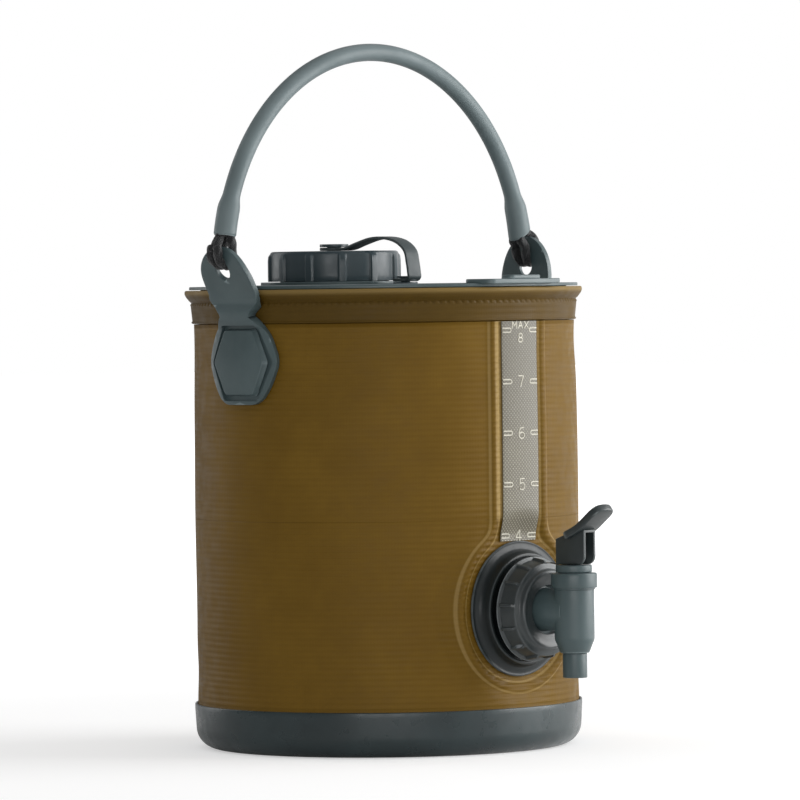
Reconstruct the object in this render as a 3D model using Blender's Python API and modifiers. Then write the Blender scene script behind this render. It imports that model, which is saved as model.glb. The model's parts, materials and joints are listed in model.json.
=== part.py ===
# A collapsible water carrier: a fabric bag on a moulded tub, with a lid, a filler cap,
# a carrying handle and a lever tap. Metres, +Z up. The origin is the centre of the
# underside. The tap faces -Y and the handle's ears stand at -X (left) and +X (right).

import math

import bmesh
import bpy
from mathutils import Matrix, Vector

# Fits shared by the whole carrier
GAP = 0.0003
SOFT_GAP = 0.0005
CUT_OVERRUN = 0.002
ROUND_STEPS = 48
SMALL_STEPS = 24
HEX_SIDES = 6
ROUTE_STEPS = 3
PROFILE_STEPS = 2
FINE_MERGE = 0.00001

# Base tub
TUB_RADIUS = 0.1094
TUB_HEIGHT = 0.0254
TUB_SKIN = 0.0013
TUB_CORNER = 0.012
CORNER_STEPS = 3

# Bag of coated fabric, whose floor laps up inside the wall
FABRIC = 0.0010
WALL_RADIUS = TUB_RADIUS - TUB_SKIN - SOFT_GAP
FLOOR_LAP_DROP = 0.0089
FLOOR_LAP = TUB_HEIGHT - FLOOR_LAP_DROP
FRONT_HALF_ANGLE = 30
FLAT_BANDS = 6

# Where the tap stands, the flat drawn round it, and where the folding wall starts
TAP_HEIGHT = 0.0800
TAP_SET_IN = 0.0036
TAP_PLANE = WALL_RADIUS - TAP_SET_IN
FLANGE_RADIUS = 0.0375
FLAT_MARGIN = 0.0035
FLAT_RADIUS = FLANGE_RADIUS + FLAT_MARGIN
BLEND_WIDTH = 0.0085
BLEND_RADIUS = FLAT_RADIUS + BLEND_WIDTH
FOLD_START = TAP_HEIGHT + BLEND_RADIUS + SOFT_GAP

# Gauge window
GAUGE_WIDTH = 0.0274
GAUGE_SKIN = 0.0006
GAUGE_COLUMNS = 4

# Hem and the hoop inside it
RIM_HEIGHT = 0.2580
HEM_DEPTH = 0.0190
WALL_TOP = RIM_HEIGHT - HEM_DEPTH
HEM_SKIN = 0.0008
HEM_RADIUS = WALL_RADIUS + HEM_SKIN
LIP_PROUD = 0.0040
LIP_RADIUS = HEM_RADIUS + LIP_PROUD
LIP_HEIGHT = 0.0065
LIP_EDGE = 0.0008
HOOP_THICKNESS = 0.0025
HOOP_DEPTH = 0.0130
HEM_CROWN = 0.0014

# Lid and its pull tab
LID_OVERHANG = 0.0013
LID_RADIUS = HEM_RADIUS + LID_OVERHANG
LID_THICKNESS = 0.0018
LID_EDGE = 0.0006
SKIRT_DEPTH = 0.0052
SKIRT_SKIN = 0.0015
TAB_WIDTH = 0.0560
TAB_DEPTH = 0.0220
TAB_THICKNESS = 0.0028
TAB_OVERHANG = 0.0049
TAB_REACH = LID_RADIUS + TAB_OVERHANG
TAB_CORNER = 0.0030
TAB_SINK = 0.0004
TAB_PAD_WIDTH = 0.0220
TAB_PAD_DEPTH = 0.0140
TAB_PAD_HEIGHT = 0.0023

# Filler neck, cap and tether
FILLER_OFFSET = 0.0400
NECK_RADIUS = 0.0310
NECK_WALL = 0.0024
NECK_BELOW_LID = 0.0045
NECK_FLANGE_WIDTH = 0.0110
NECK_FLANGE_RADIUS = NECK_RADIUS + NECK_FLANGE_WIDTH
NECK_FLANGE_THICKNESS = 0.0018
NECK_STEPS = 36
CAP_SIDE = 0.0056
CAP_RADIUS = NECK_RADIUS + CAP_SIDE
CAP_HEIGHT = 0.0170
CAP_SKIN = 0.0020
CAP_EDGE = 0.0018
CAP_RIBS = 12
CAP_RIB_WIDTH = 0.0042
CAP_RIB_PROUD = 0.0014
CAP_RIB_TURN = 23.7
GASKET_THICKNESS = 0.0016
HUB_STUD_RADIUS = 0.0040
HUB_HEAD_LIP = 0.0042
HUB_HEAD_RADIUS = HUB_STUD_RADIUS + HUB_HEAD_LIP
HUB_HEAD_THICKNESS = 0.0016
TETHER_WIDTH = 0.0100
TETHER_THICKNESS = 0.0015
TETHER_EYE_THICKNESS = 0.0018
ANCHOR_STANDOFF = 0.0160
ANCHOR_OFFSET = FILLER_OFFSET - NECK_FLANGE_RADIUS - ANCHOR_STANDOFF
ANCHOR_STUD_RADIUS = 0.0026
ANCHOR_HEAD_LIP = 0.0024
ANCHOR_HEAD_RADIUS = ANCHOR_STUD_RADIUS + ANCHOR_HEAD_LIP
ANCHOR_BASE_LIP = 0.0020
ANCHOR_BASE_RADIUS = ANCHOR_HEAD_RADIUS + ANCHOR_BASE_LIP
ANCHOR_BASE_THICKNESS = 0.0010

# Arms, their buttons and fixings
EAR_CENTRE_RISE = 0.0040
EAR_CENTRE = RIM_HEIGHT + EAR_CENTRE_RISE
EAR_HALF_WIDTH = 0.0190
LEFT_EAR_RISE = 0.0200
RIGHT_EAR_RISE = 0.0250
LEFT_EAR_LEAN = 0.0095
RIGHT_EAR_LEAN = 0.0011
EAR_STEPS = 9
ARM_THICKNESS = 0.0030
FOOT_RADIUS = 0.0150
ARM_WAIST_WIDTH = 0.0215
ARM_WAIST_DROP = 0.0205
ARM_WAIST_HEIGHT = RIM_HEIGHT - ARM_WAIST_DROP
ARM_FLARE_DROP = 0.0050
ARM_FLARE_TOP = RIM_HEIGHT - ARM_FLARE_DROP
HOLE_RISE = 0.0115
HOLE_HEIGHT = RIM_HEIGHT + HOLE_RISE
HOLE_RADIUS = 0.0050
BUTTON_DROP = 0.0400
BUTTON_HEIGHT = RIM_HEIGHT - BUTTON_DROP
BUTTON_MARGIN = 0.0085
BUTTON_RADIUS = FOOT_RADIUS + BUTTON_MARGIN
BUTTON_SLOPE = 0.0035
BUTTON_FACE_RADIUS = BUTTON_RADIUS - BUTTON_SLOPE
BUTTON_PROUD = 0.0072
BUTTON_BEVEL = 0.0030
BUTTON_WRAP = 0.0031
BUTTON_BACK = WALL_RADIUS - BUTTON_WRAP
PLATE_SIZE = 0.0280
PLATE_THICKNESS = 0.0020
SCREW_RADIUS = 0.0020
SCREW_HEAD_RADIUS = 2 * SCREW_RADIUS
SCREW_HEAD_THICKNESS = 0.0016
SCREW_BITE = 0.0022
SCREW_STEPS = 12

# Handle and cord
HANDLE_OVERHANG = 0.0041
HANDLE_HALF_SPAN = LIP_RADIUS + HANDLE_OVERHANG
HANDLE_RISE = 0.1216
HANDLE_SHIFT = -0.0055
HANDLE_END_ANGLE = 8.75
CORD_RADIUS = 0.0020
CORD_PLAY = 0.0007
HANDLE_BORE = CORD_RADIUS + CORD_PLAY
HANDLE_SKIN = 0.0022
HANDLE_RADIUS = HANDLE_BORE + HANDLE_SKIN
CUFF_PROUD = 0.0014
CUFF_RADIUS = HANDLE_RADIUS + CUFF_PROUD
CUFF_POINTS = 2
HANDLE_POINTS = 29
LOOP_GAP = 0.0012

# Tap fitting on the wall
FLANGE_STEPS = 36
FLANGE_THICKNESS = 0.0028
FLANGE_SLOPE = 0.0065
FLANGE_LIP_RADIUS = FLANGE_RADIUS - FLANGE_SLOPE
FLANGE_LIP_HEIGHT = 0.0055
FLANGE_EDGE = 0.0012
FLANGE_LIP_SKIN = 0.0022
STUB_RADIUS = 0.0120
STUB_WALL = 0.0042
STUB_BORE = STUB_RADIUS - STUB_WALL
TAIL_MARGIN = 0.0025
TAIL_RADIUS = STUB_RADIUS + TAIL_MARGIN
TAIL_WALL = 0.0055
TAIL_BORE = TAIL_RADIUS - TAIL_WALL
TAIL_OVERHANG = 0.0010
BACKING_WIDTH = 0.0115
BACKING_RADIUS = TAIL_RADIUS + BACKING_WIDTH
BACKING_THICKNESS = 0.0025
TAP_GASKET_WIDTH = 0.0090
TAP_GASKET_RADIUS = TAIL_RADIUS + TAP_GASKET_WIDTH
TAP_GASKET_THICKNESS = 0.0015
INLET_NUT_WALL = 0.0035
INLET_NUT_RADIUS = TAIL_RADIUS + INLET_NUT_WALL
INLET_NUT_THICKNESS = 0.0050
SPIGOT_LENGTH = 0.0131
SPIGOT_MARGIN = 0.0082
SPIGOT_RADIUS = STUB_RADIUS + SPIGOT_MARGIN
WASHER_THICKNESS = 0.0012
UNION_STEPS = 42
UNION_STANDOFF = 0.0086
THREAD_CLEARANCE = 0.0004
UNION_THREAD_RADIUS = SPIGOT_RADIUS + THREAD_CLEARANCE
UNION_WALL = 0.0072
UNION_RADIUS = UNION_THREAD_RADIUS + UNION_WALL
UNION_RIBS = 14
UNION_RIB_PROUD = 0.0012
UNION_RIB_WIDTH = 0.0034
UNION_RIB_LENGTH = 0.0120
UNION_FACE_BEVEL = 0.0012
UNION_FACE_RADIUS = UNION_RADIUS - UNION_FACE_BEVEL
UNION_FACE_WIDTH = 0.0061
UNION_FACE_STEP = UNION_RADIUS - UNION_FACE_WIDTH
UNION_FACE_DEPTH = 0.0022
UNION_LIP = 0.0027
UNION_CLEARANCE = 0.0010

# Tap body, valve and nozzle
BARREL_STANDOFF = 0.0176
BARREL_RADIUS = 0.0110
BARREL_WALL = 0.0028
BARREL_BORE = BARREL_RADIUS - BARREL_WALL
BARREL_FOOT_DROP = 0.0176
BARREL_FOOT = TAP_HEIGHT - BARREL_FOOT_DROP
BARREL_TAPER_LENGTH = 0.0054
BARREL_END = BARREL_FOOT - BARREL_TAPER_LENGTH
NOZZLE_RADIUS = 0.0067
NOZZLE_WALL = 0.0023
NOZZLE_BORE = NOZZLE_RADIUS - NOZZLE_WALL
NOZZLE_LENGTH = 0.0137
NOZZLE_END = BARREL_END - NOZZLE_LENGTH
NOZZLE_SPIGOT = 0.0040
NOZZLE_SHOULDER = 0.0009
NOZZLE_SPIGOT_RADIUS = NOZZLE_RADIUS - NOZZLE_SHOULDER
BARREL_END_PROUD = 0.0011
BARREL_END_RADIUS = NOZZLE_RADIUS + BARREL_END_PROUD
BODY_FLANGE_CLEARANCE = 0.0008
BODY_FLANGE_RADIUS = SPIGOT_RADIUS - BODY_FLANGE_CLEARANCE
BODY_FLANGE_THICKNESS = 0.0027
COLLAR_STANDOFF = 0.0006
COLLAR_START = TAP_HEIGHT + STUB_RADIUS + COLLAR_STANDOFF
COLLAR_LENGTH = 0.0082
COLLAR_TOP = COLLAR_START + COLLAR_LENGTH
COLLAR_PROUD = 0.0017
COLLAR_RADIUS = BARREL_RADIUS + COLLAR_PROUD
BONNET_STEP = 0.0010
BONNET_RADIUS = BARREL_RADIUS - BONNET_STEP
BONNET_HEIGHT = 0.0044
BONNET_TOP = COLLAR_TOP + BONNET_HEIGHT
BONNET_PLUG_DEPTH = 0.0048
SEAT_DEPTH = 0.0080
SEAT_HEIGHT = BARREL_END + SEAT_DEPTH
SEAT_MARGIN = 0.0006
SEAT_BORE = NOZZLE_BORE + SEAT_MARGIN
CUP_CLEARANCE = 0.0008
SEAT_CUP_RADIUS = BARREL_BORE - CUP_CLEARANCE
SEAT_CUP_THICKNESS = 0.0030
STEM_RADIUS = 0.0020
STEM_FOOT_CLEARANCE = 0.0010
STEM_FOOT_RADIUS = SEAT_CUP_RADIUS - STEM_FOOT_CLEARANCE
STEM_FOOT_THICKNESS = 0.0022
PIN_RISE = 0.0068
PIN_HEIGHT = BONNET_TOP + PIN_RISE
PIN_RADIUS = 0.0012
STEM_BLOCK_WIDTH = 2 * STEM_RADIUS
STEM_BLOCK_DEPTH = 0.0050
STEM_BLOCK_LIFT = 0.0012
STEM_BLOCK_BOTTOM = BONNET_TOP + STEM_BLOCK_LIFT
STEM_BLOCK_REACH = 0.0038
STEM_BLOCK_TOP = PIN_HEIGHT + STEM_BLOCK_REACH
SPRING_CLEARANCE = 0.0030
SPRING_RADIUS = BARREL_BORE - SPRING_CLEARANCE
SPRING_WIRE = 0.0006
SPRING_TURNS = 5
SPRING_TURN_POINTS = 10

# Lever
LEVER_PLAY = 0.0008
LEVER_SLOT = STEM_BLOCK_WIDTH + LEVER_PLAY
LEVER_CHEEKS = 0.0048
LEVER_WIDTH = LEVER_SLOT + LEVER_CHEEKS
PIN_SINK = 0.0012
PIN_LENGTH = LEVER_WIDTH - PIN_SINK
LEVER_SLOT_ROOM = 0.0025
LEVER_SLOT_BACK = STEM_BLOCK_DEPTH / 2 + LEVER_SLOT_ROOM
LEVER_ROOF_ROOM = 0.0018
LEVER_SLOT_ROOF = STEM_BLOCK_TOP + LEVER_ROOF_ROOM
LEVER_BACK_STEP = 0.0006
LEVER_BACK = BONNET_RADIUS - LEVER_BACK_STEP
LEVER_NOSE = 0.0024
LEVER_FRONT = BONNET_RADIUS + LEVER_NOSE
LEVER_CORNER = 0.0050
LEVER_HEEL_SKIN = 0.0018
LEVER_HEEL_TOP = LEVER_SLOT_ROOF + LEVER_HEEL_SKIN
LEVER_KNEE_BACK = 0.0032
LEVER_KNEE_OFFSET = LEVER_FRONT - LEVER_KNEE_BACK
LEVER_KNEE_RISE = 0.0106
LEVER_KNEE_HEIGHT = LEVER_HEEL_TOP + LEVER_KNEE_RISE
LEVER_PADDLE_REACH = 0.0170
LEVER_TIP_OFFSET = LEVER_KNEE_OFFSET + LEVER_PADDLE_REACH
LEVER_PADDLE_RISE = 0.0100
LEVER_TIP_HEIGHT = LEVER_KNEE_HEIGHT + LEVER_PADDLE_RISE
LEVER_PADDLE_MARGIN = 0.0054
LEVER_PADDLE_WIDTH = LEVER_WIDTH + LEVER_PADDLE_MARGIN
LEVER_PADDLE_THICKNESS = 0.0044

# Places along the tap's axis, as distances from the bag's axis
FLANGE_BACK = TAP_PLANE + 2 * GAP
FLANGE_FRONT = FLANGE_BACK + FLANGE_THICKNESS
UNION_START = FLANGE_FRONT + UNION_STANDOFF
SPIGOT_END = FLANGE_FRONT + SPIGOT_LENGTH
GASKET_FACE = TAP_PLANE - FABRIC - GAP
BACKING_FACE = GASKET_FACE - TAP_GASKET_THICKNESS - GAP
NUT_FACE = BACKING_FACE - BACKING_THICKNESS - GAP
TAIL_END = NUT_FACE - INLET_NUT_THICKNESS - TAIL_OVERHANG
BODY_START = SPIGOT_END + WASHER_THICKNESS + 2 * GAP
NUT_SHOULDER = BODY_START + BODY_FLANGE_THICKNESS + GAP
UNION_FRONT = NUT_SHOULDER + UNION_LIP + UNION_FACE_DEPTH
BARREL_OFFSET = UNION_FRONT + BARREL_STANDOFF

# Colours as linear RGB with roughness and metallic values
FABRIC_LOOK = ((0.135, 0.076, 0.016), 0.55, 0.0)
GAUGE_LOOK = ((0.285, 0.254, 0.194), 0.35, 0.0)
GREY_LOOK = ((0.070, 0.090, 0.096), 0.48, 0.0)
HANDLE_LOOK = ((0.190, 0.230, 0.240), 0.50, 0.0)
DARK_LOOK = ((0.035, 0.045, 0.047), 0.45, 0.0)
CORD_LOOK = ((0.006, 0.006, 0.007), 0.80, 0.0)
RUBBER_LOOK = ((0.015, 0.015, 0.016), 0.70, 0.0)
STEEL_LOOK = ((0.560, 0.570, 0.580), 0.30, 1.0)


def clear_scene():
    for item in list(bpy.data.objects):
        bpy.data.objects.remove(item, do_unlink=True)


def new_collection(name):
    collection = bpy.data.collections.new(name)
    bpy.context.scene.collection.children.link(collection)
    return collection


def make_material(name, look):
    colour, roughness, metallic = look
    material = bpy.data.materials.new(name)
    material.use_nodes = True
    shader = material.node_tree.nodes["Principled BSDF"]
    shader.inputs["Base Color"].default_value = (*colour, 1.0)
    shader.inputs["Roughness"].default_value = roughness
    shader.inputs["Metallic"].default_value = metallic
    return material


clear_scene()
CARRIER = new_collection("collapsible_water_carrier")
CUTTERS = new_collection("cutters")


def place(name, mesh, look=None, matrix=None):
    """Link a mesh as a named piece with its own material, or as a cutter without one."""
    piece = bpy.data.objects.new(name, mesh)
    if look:
        mesh.materials.append(make_material(name + "_finish", look))
        CARRIER.objects.link(piece)
    else:
        CUTTERS.objects.link(piece)
        piece.hide_render = True
        piece.display_type = "WIRE"
    if matrix:
        piece.matrix_world = matrix
    return piece


def boolean(piece, operand, operation):
    modifier = piece.modifiers.new(operation.lower() + "_" + operand.name, "BOOLEAN")
    modifier.object = operand
    modifier.operation = operation
    modifier.solver = "EXACT"


def arc(centre_r, centre_z, radius, start, end, steps):
    """Points of a round stretch of a profile, from one angle to another in degrees."""
    points = []
    for step in range(steps + 1):
        angle = math.radians(start + (end - start) * step / steps)
        points.append((centre_r + radius * math.cos(angle), centre_z + radius * math.sin(angle)))
    return points


def lathe(name, profile, steps, look=None, matrix=None):
    """Turn a profile of (radius, height) points about local Z. It runs down its outer
    side, and it is closed unless both its ends lie on the axis."""
    mesh = bpy.data.meshes.new(name)
    builder = bmesh.new()
    corners = [builder.verts.new((radius, 0, height)) for radius, height in profile]
    for start, end in zip(corners, corners[1:]):
        builder.edges.new((start, end))
    if profile[0][0] > 0 or profile[-1][0] > 0:
        builder.edges.new((corners[-1], corners[0]))
    builder.to_mesh(mesh)
    builder.free()
    piece = place(name, mesh, look, matrix)
    screw = piece.modifiers.new("turn", "SCREW")
    screw.axis = "Z"
    screw.angle = math.tau
    screw.steps = steps
    screw.render_steps = steps
    screw.use_merge_vertices = True
    screw.merge_threshold = FINE_MERGE
    screw.use_smooth_shade = True
    return piece


def curve_mesh(name, data):
    """Mesh of a curve, with its loose caps welded."""
    guide = bpy.data.objects.new(name + "_guide", data)
    CUTTERS.objects.link(guide)
    bpy.context.view_layer.update()
    depsgraph = bpy.context.evaluated_depsgraph_get()
    mesh = bpy.data.meshes.new_from_object(guide.evaluated_get(depsgraph))
    bpy.data.objects.remove(guide, do_unlink=True)
    mesh.name = name
    mesh.materials.clear()
    builder = bmesh.new()
    builder.from_mesh(mesh)
    bmesh.ops.remove_doubles(builder, verts=builder.verts, dist=FINE_MERGE)
    bmesh.ops.recalc_face_normals(builder, faces=builder.faces)
    builder.to_mesh(mesh)
    builder.free()
    return mesh


def flat_plate(name, outline, thickness, look=None, matrix=None):
    """A flat outline in local XY, with its thickness centred on the local origin."""
    data = bpy.data.curves.new(name, "CURVE")
    data.dimensions = "2D"
    data.fill_mode = "BOTH"
    data.extrude = thickness / 2
    spline = data.splines.new("POLY")
    spline.points.add(len(outline) - 1)
    spline.use_cyclic_u = True
    for point, (x, y) in zip(spline.points, outline):
        point.co = (x, y, 0, 1)
    return place(name, curve_mesh(name, data), look, matrix)


def rod_mesh(name, points, radius, shares=None, resolution=2, cyclic=False):
    """A bent rod through points. The shares scale its radius from point to point."""
    data = bpy.data.curves.new(name, "CURVE")
    data.dimensions = "3D"
    data.bevel_depth = radius
    data.bevel_resolution = resolution
    data.use_fill_caps = not cyclic
    spline = data.splines.new("POLY")
    spline.points.add(len(points) - 1)
    spline.use_cyclic_u = cyclic
    for index, point in enumerate(points):
        spline.points[index].co = (*point, 1)
        if shares:
            spline.points[index].radius = shares[index]
    return curve_mesh(name, data)


def box(name, low, high, look=None):
    """A box between two corners."""
    builder = bmesh.new()
    bmesh.ops.create_cube(builder, size=1)
    size = [b - a for a, b in zip(low, high)]
    middle = [(a + b) / 2 for a, b in zip(low, high)]
    bmesh.ops.scale(builder, vec=size, verts=builder.verts)
    bmesh.ops.translate(builder, vec=middle, verts=builder.verts)
    mesh = bpy.data.meshes.new(name)
    builder.to_mesh(mesh)
    builder.free()
    return place(name, mesh, look)


def smooth_path(knots, steps):
    """A Catmull-Rom curve through the knots, with some steps between each two."""
    ends = [knots[0]] + list(knots) + [knots[-1]]
    points = []
    for before, start, end, after in zip(ends, ends[1:], ends[2:], ends[3:]):
        for step in range(steps):
            t = step / steps
            point = []
            for a, b, c, d in zip(before, start, end, after):
                bend = 2 * a - 5 * b + 4 * c - d
                twist = 3 * b - a - 3 * c + d
                point.append((2 * b + (c - a) * t + bend * t ** 2 + twist * t ** 3) / 2)
            points.append(tuple(point))
    points.append(tuple(knots[-1]))
    return points


def ribbon_outline(path, thickness):
    """The outline of a strip of even thickness along a flat path."""
    left = []
    right = []
    for index, (x, y) in enumerate(path):
        before = Vector(path[max(index - 1, 0)])
        after = Vector(path[min(index + 1, len(path) - 1)])
        along = (after - before).normalized()
        side = Vector((-along.y, along.x)) * thickness / 2
        left.append((x + side.x, y + side.y))
        right.append((x - side.x, y - side.y))
    return left + right[::-1]


# Frames that stand a flat outline or a turned piece up in the carrier
TAP_FRAME = Matrix.Translation((0, 0, TAP_HEIGHT)) @ Matrix.Rotation(math.pi / 2, 4, "X")
FILLER_FRAME = Matrix.Translation((0, FILLER_OFFSET, 0))
ANCHOR_FRAME = Matrix.Translation((0, ANCHOR_OFFSET, 0))
BARREL_FRAME = Matrix.Translation((0, -BARREL_OFFSET, 0))
PROFILE_FRAME = Matrix.Rotation(math.pi / 2, 4, "X")
OUTLINE_FRAME = Matrix(((0, 0, 1, 0), (1, 0, 0, 0), (0, 1, 0, 0), (0, 0, 0, 1)))

# Heights that follow from the stack on the rim
LID_BOTTOM = RIM_HEIGHT + GAP
LID_TOP = LID_BOTTOM + LID_THICKNESS
FLANGE_TOP = LID_TOP + GAP + NECK_FLANGE_THICKNESS
CAP_BOTTOM = FLANGE_TOP + GAP
CAP_TOP = CAP_BOTTOM + CAP_HEIGHT
CAP_CEILING = CAP_TOP - CAP_SKIN
NECK_TOP = CAP_CEILING - GASKET_THICKNESS - 2 * GAP
HEM_INNER_RADIUS = WALL_RADIUS - 2 * GAP - HOOP_THICKNESS - HEM_SKIN
TETHER_HIGH = CAP_TOP + GAP + TETHER_EYE_THICKNESS / 2
TETHER_LOW = LID_TOP + 2 * GAP + ANCHOR_BASE_THICKNESS + TETHER_EYE_THICKNESS / 2


def cylinder(name, radius, low, high, steps, look=None, matrix=None):
    profile = [(0, high), (radius, high), (radius, low), (0, low)]
    return lathe(name, profile, steps, look, matrix)


def ring(name, outer, inner, low, high, steps, look=None, matrix=None):
    profile = [(outer, high), (outer, low), (inner, low), (inner, high)]
    return lathe(name, profile, steps, look, matrix)


def sheet(name, columns, rows, point_at, thickness, look, closed=False):
    """A curved sheet through a grid of outer points, thickened inwards."""
    mesh = bpy.data.meshes.new(name)
    builder = bmesh.new()
    grid = [[builder.verts.new(point_at(column, row)) for column in columns] for row in rows]
    wraps = len(columns) if closed else len(columns) - 1
    for lower, upper in zip(grid, grid[1:]):
        for index in range(wraps):
            after = (index + 1) % len(columns)
            builder.faces.new((lower[index], lower[after], upper[after], upper[index]))
    builder.to_mesh(mesh)
    builder.free()
    piece = place(name, mesh, look)
    solid = piece.modifiers.new("skin", "SOLIDIFY")
    solid.thickness = thickness
    solid.offset = -1
    return piece


def even_steps(start, end, count):
    return [start + (end - start) * step / count for step in range(count + 1)]


def copies_about_axis(mesh, count, turn):
    """Replace a mesh by a ring of copies of itself about local Z."""
    builder = bmesh.new()
    for index in range(count):
        before = len(builder.verts)
        builder.from_mesh(mesh)
        builder.verts.ensure_lookup_table()
        spin = Matrix.Rotation(math.radians(turn) + math.tau * index / count, 4, "Z")
        bmesh.ops.transform(builder, matrix=spin, verts=builder.verts[before:])
    builder.to_mesh(mesh)
    builder.free()


def rounded_rectangle(width, depth, corner):
    """Outline of a rectangle with round corners about the origin."""
    x = width / 2 - corner
    y = depth / 2 - corner
    points = []
    for turn, (centre_x, centre_y) in enumerate(((x, y), (-x, y), (-x, -y), (x, -y))):
        points += arc(centre_x, centre_y, corner, 90 * turn, 90 * turn + 90, CORNER_STEPS)
    return points


def wall_point(azimuth, height):
    """A point of the wall's outer face, which is drawn flat behind the tap's flange."""
    angle = math.radians(azimuth)
    x = WALL_RADIUS * math.cos(angle)
    y = WALL_RADIUS * math.sin(angle)
    reach = math.hypot(x, height - TAP_HEIGHT)
    if y < 0 and reach < BLEND_RADIUS:
        share = min((BLEND_RADIUS - reach) / (BLEND_RADIUS - FLAT_RADIUS), 1)
        y += (-TAP_PLANE - y) * share * share * (3 - 2 * share)
    return x, y, height


def make_base_tub():
    centre = TUB_RADIUS - TUB_CORNER
    inner = arc(centre, TUB_CORNER, TUB_CORNER - TUB_SKIN, -90, 0, CORNER_STEPS)
    outer = arc(centre, TUB_CORNER, TUB_CORNER, 0, -90, CORNER_STEPS)
    profile = [(0, TUB_SKIN)] + inner
    profile += [(TUB_RADIUS - TUB_SKIN, TUB_HEIGHT), (TUB_RADIUS, TUB_HEIGHT)]
    profile += outer + [(0, 0)]
    lathe("base_tub", profile, ROUND_STEPS, GREY_LOOK)


def make_bag_floor():
    centre = TUB_RADIUS - TUB_CORNER
    outer_corner = TUB_CORNER - TUB_SKIN - SOFT_GAP
    inner_corner = outer_corner - FABRIC
    inner = arc(centre, TUB_CORNER, inner_corner, -90, 0, CORNER_STEPS)
    outer = arc(centre, TUB_CORNER, outer_corner, 0, -90, CORNER_STEPS)
    profile = [(0, inner[0][1])] + inner
    profile += [(WALL_RADIUS - FABRIC, FLOOR_LAP), (WALL_RADIUS, FLOOR_LAP)]
    profile += outer + [(0, outer[-1][1])]
    lathe("bag_floor", profile, ROUND_STEPS, FABRIC_LOOK)


def make_wall_lower():
    step = 360 / ROUND_STEPS
    columns = []
    for index in range(ROUND_STEPS):
        azimuth = index * step
        columns.append(azimuth)
        if abs(azimuth + step / 2 - 270) < FRONT_HALF_ANGLE:
            columns.append(azimuth + step / 2)
    low = TAP_HEIGHT - FLAT_RADIUS
    bottom = FLOOR_LAP + GAP
    rows = [bottom, (bottom + low) / 2]
    rows += even_steps(low, TAP_HEIGHT + FLAT_RADIUS, FLAT_BANDS)
    rows += [FOLD_START - 2 * GAP]
    wall = sheet("wall_lower", columns, rows, wall_point, FABRIC, FABRIC_LOOK, closed=True)
    inner = TAP_PLANE - FABRIC - CUT_OVERRUN
    outer = TAP_PLANE + CUT_OVERRUN
    hole = cylinder("tap_hole", TAIL_RADIUS + SOFT_GAP, inner, outer, SMALL_STEPS, matrix=TAP_FRAME)
    boolean(wall, hole, "DIFFERENCE")


def make_wall_fold(screw_holes):
    wall = ring("wall_fold", WALL_RADIUS, WALL_RADIUS - FABRIC, FOLD_START, WALL_TOP,
                ROUND_STEPS, FABRIC_LOOK)
    for hole in screw_holes:
        boolean(wall, hole, "DIFFERENCE")


def make_gauge_window():
    radius = WALL_RADIUS + SOFT_GAP + GAUGE_SKIN
    half_angle = math.degrees(GAUGE_WIDTH / 2 / radius)

    def point_at(azimuth, height):
        angle = math.radians(azimuth)
        return radius * math.cos(angle), radius * math.sin(angle), height

    columns = even_steps(270 - half_angle, 270 + half_angle, GAUGE_COLUMNS)
    sheet("gauge_window", columns, [FOLD_START, WALL_TOP], point_at, GAUGE_SKIN, GAUGE_LOOK)


def make_hem():
    bottom = WALL_TOP + GAP
    pocket_top = RIM_HEIGHT - HEM_CROWN
    pocket_inner = WALL_RADIUS - 2 * GAP - HOOP_THICKNESS
    profile = [
        (LIP_RADIUS - LIP_EDGE, RIM_HEIGHT),
        (LIP_RADIUS, RIM_HEIGHT - LIP_EDGE),
        (LIP_RADIUS, RIM_HEIGHT - 2 * LIP_EDGE),
        (HEM_RADIUS, RIM_HEIGHT - LIP_HEIGHT),
        (HEM_RADIUS, bottom),
        (WALL_RADIUS, bottom),
        (WALL_RADIUS, pocket_top),
        (pocket_inner, pocket_top),
        (pocket_inner, bottom),
        (HEM_INNER_RADIUS, bottom),
        (HEM_INNER_RADIUS, RIM_HEIGHT - LIP_EDGE),
        (HEM_INNER_RADIUS + LIP_EDGE, RIM_HEIGHT),
    ]
    lathe("top_hem", profile, ROUND_STEPS, FABRIC_LOOK)
    hoop_outer = WALL_RADIUS - GAP
    hoop_top = pocket_top - GAP
    ring("rim_hoop", hoop_outer, hoop_outer - HOOP_THICKNESS, hoop_top - HOOP_DEPTH, hoop_top,
         ROUND_STEPS, STEEL_LOOK)


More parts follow.
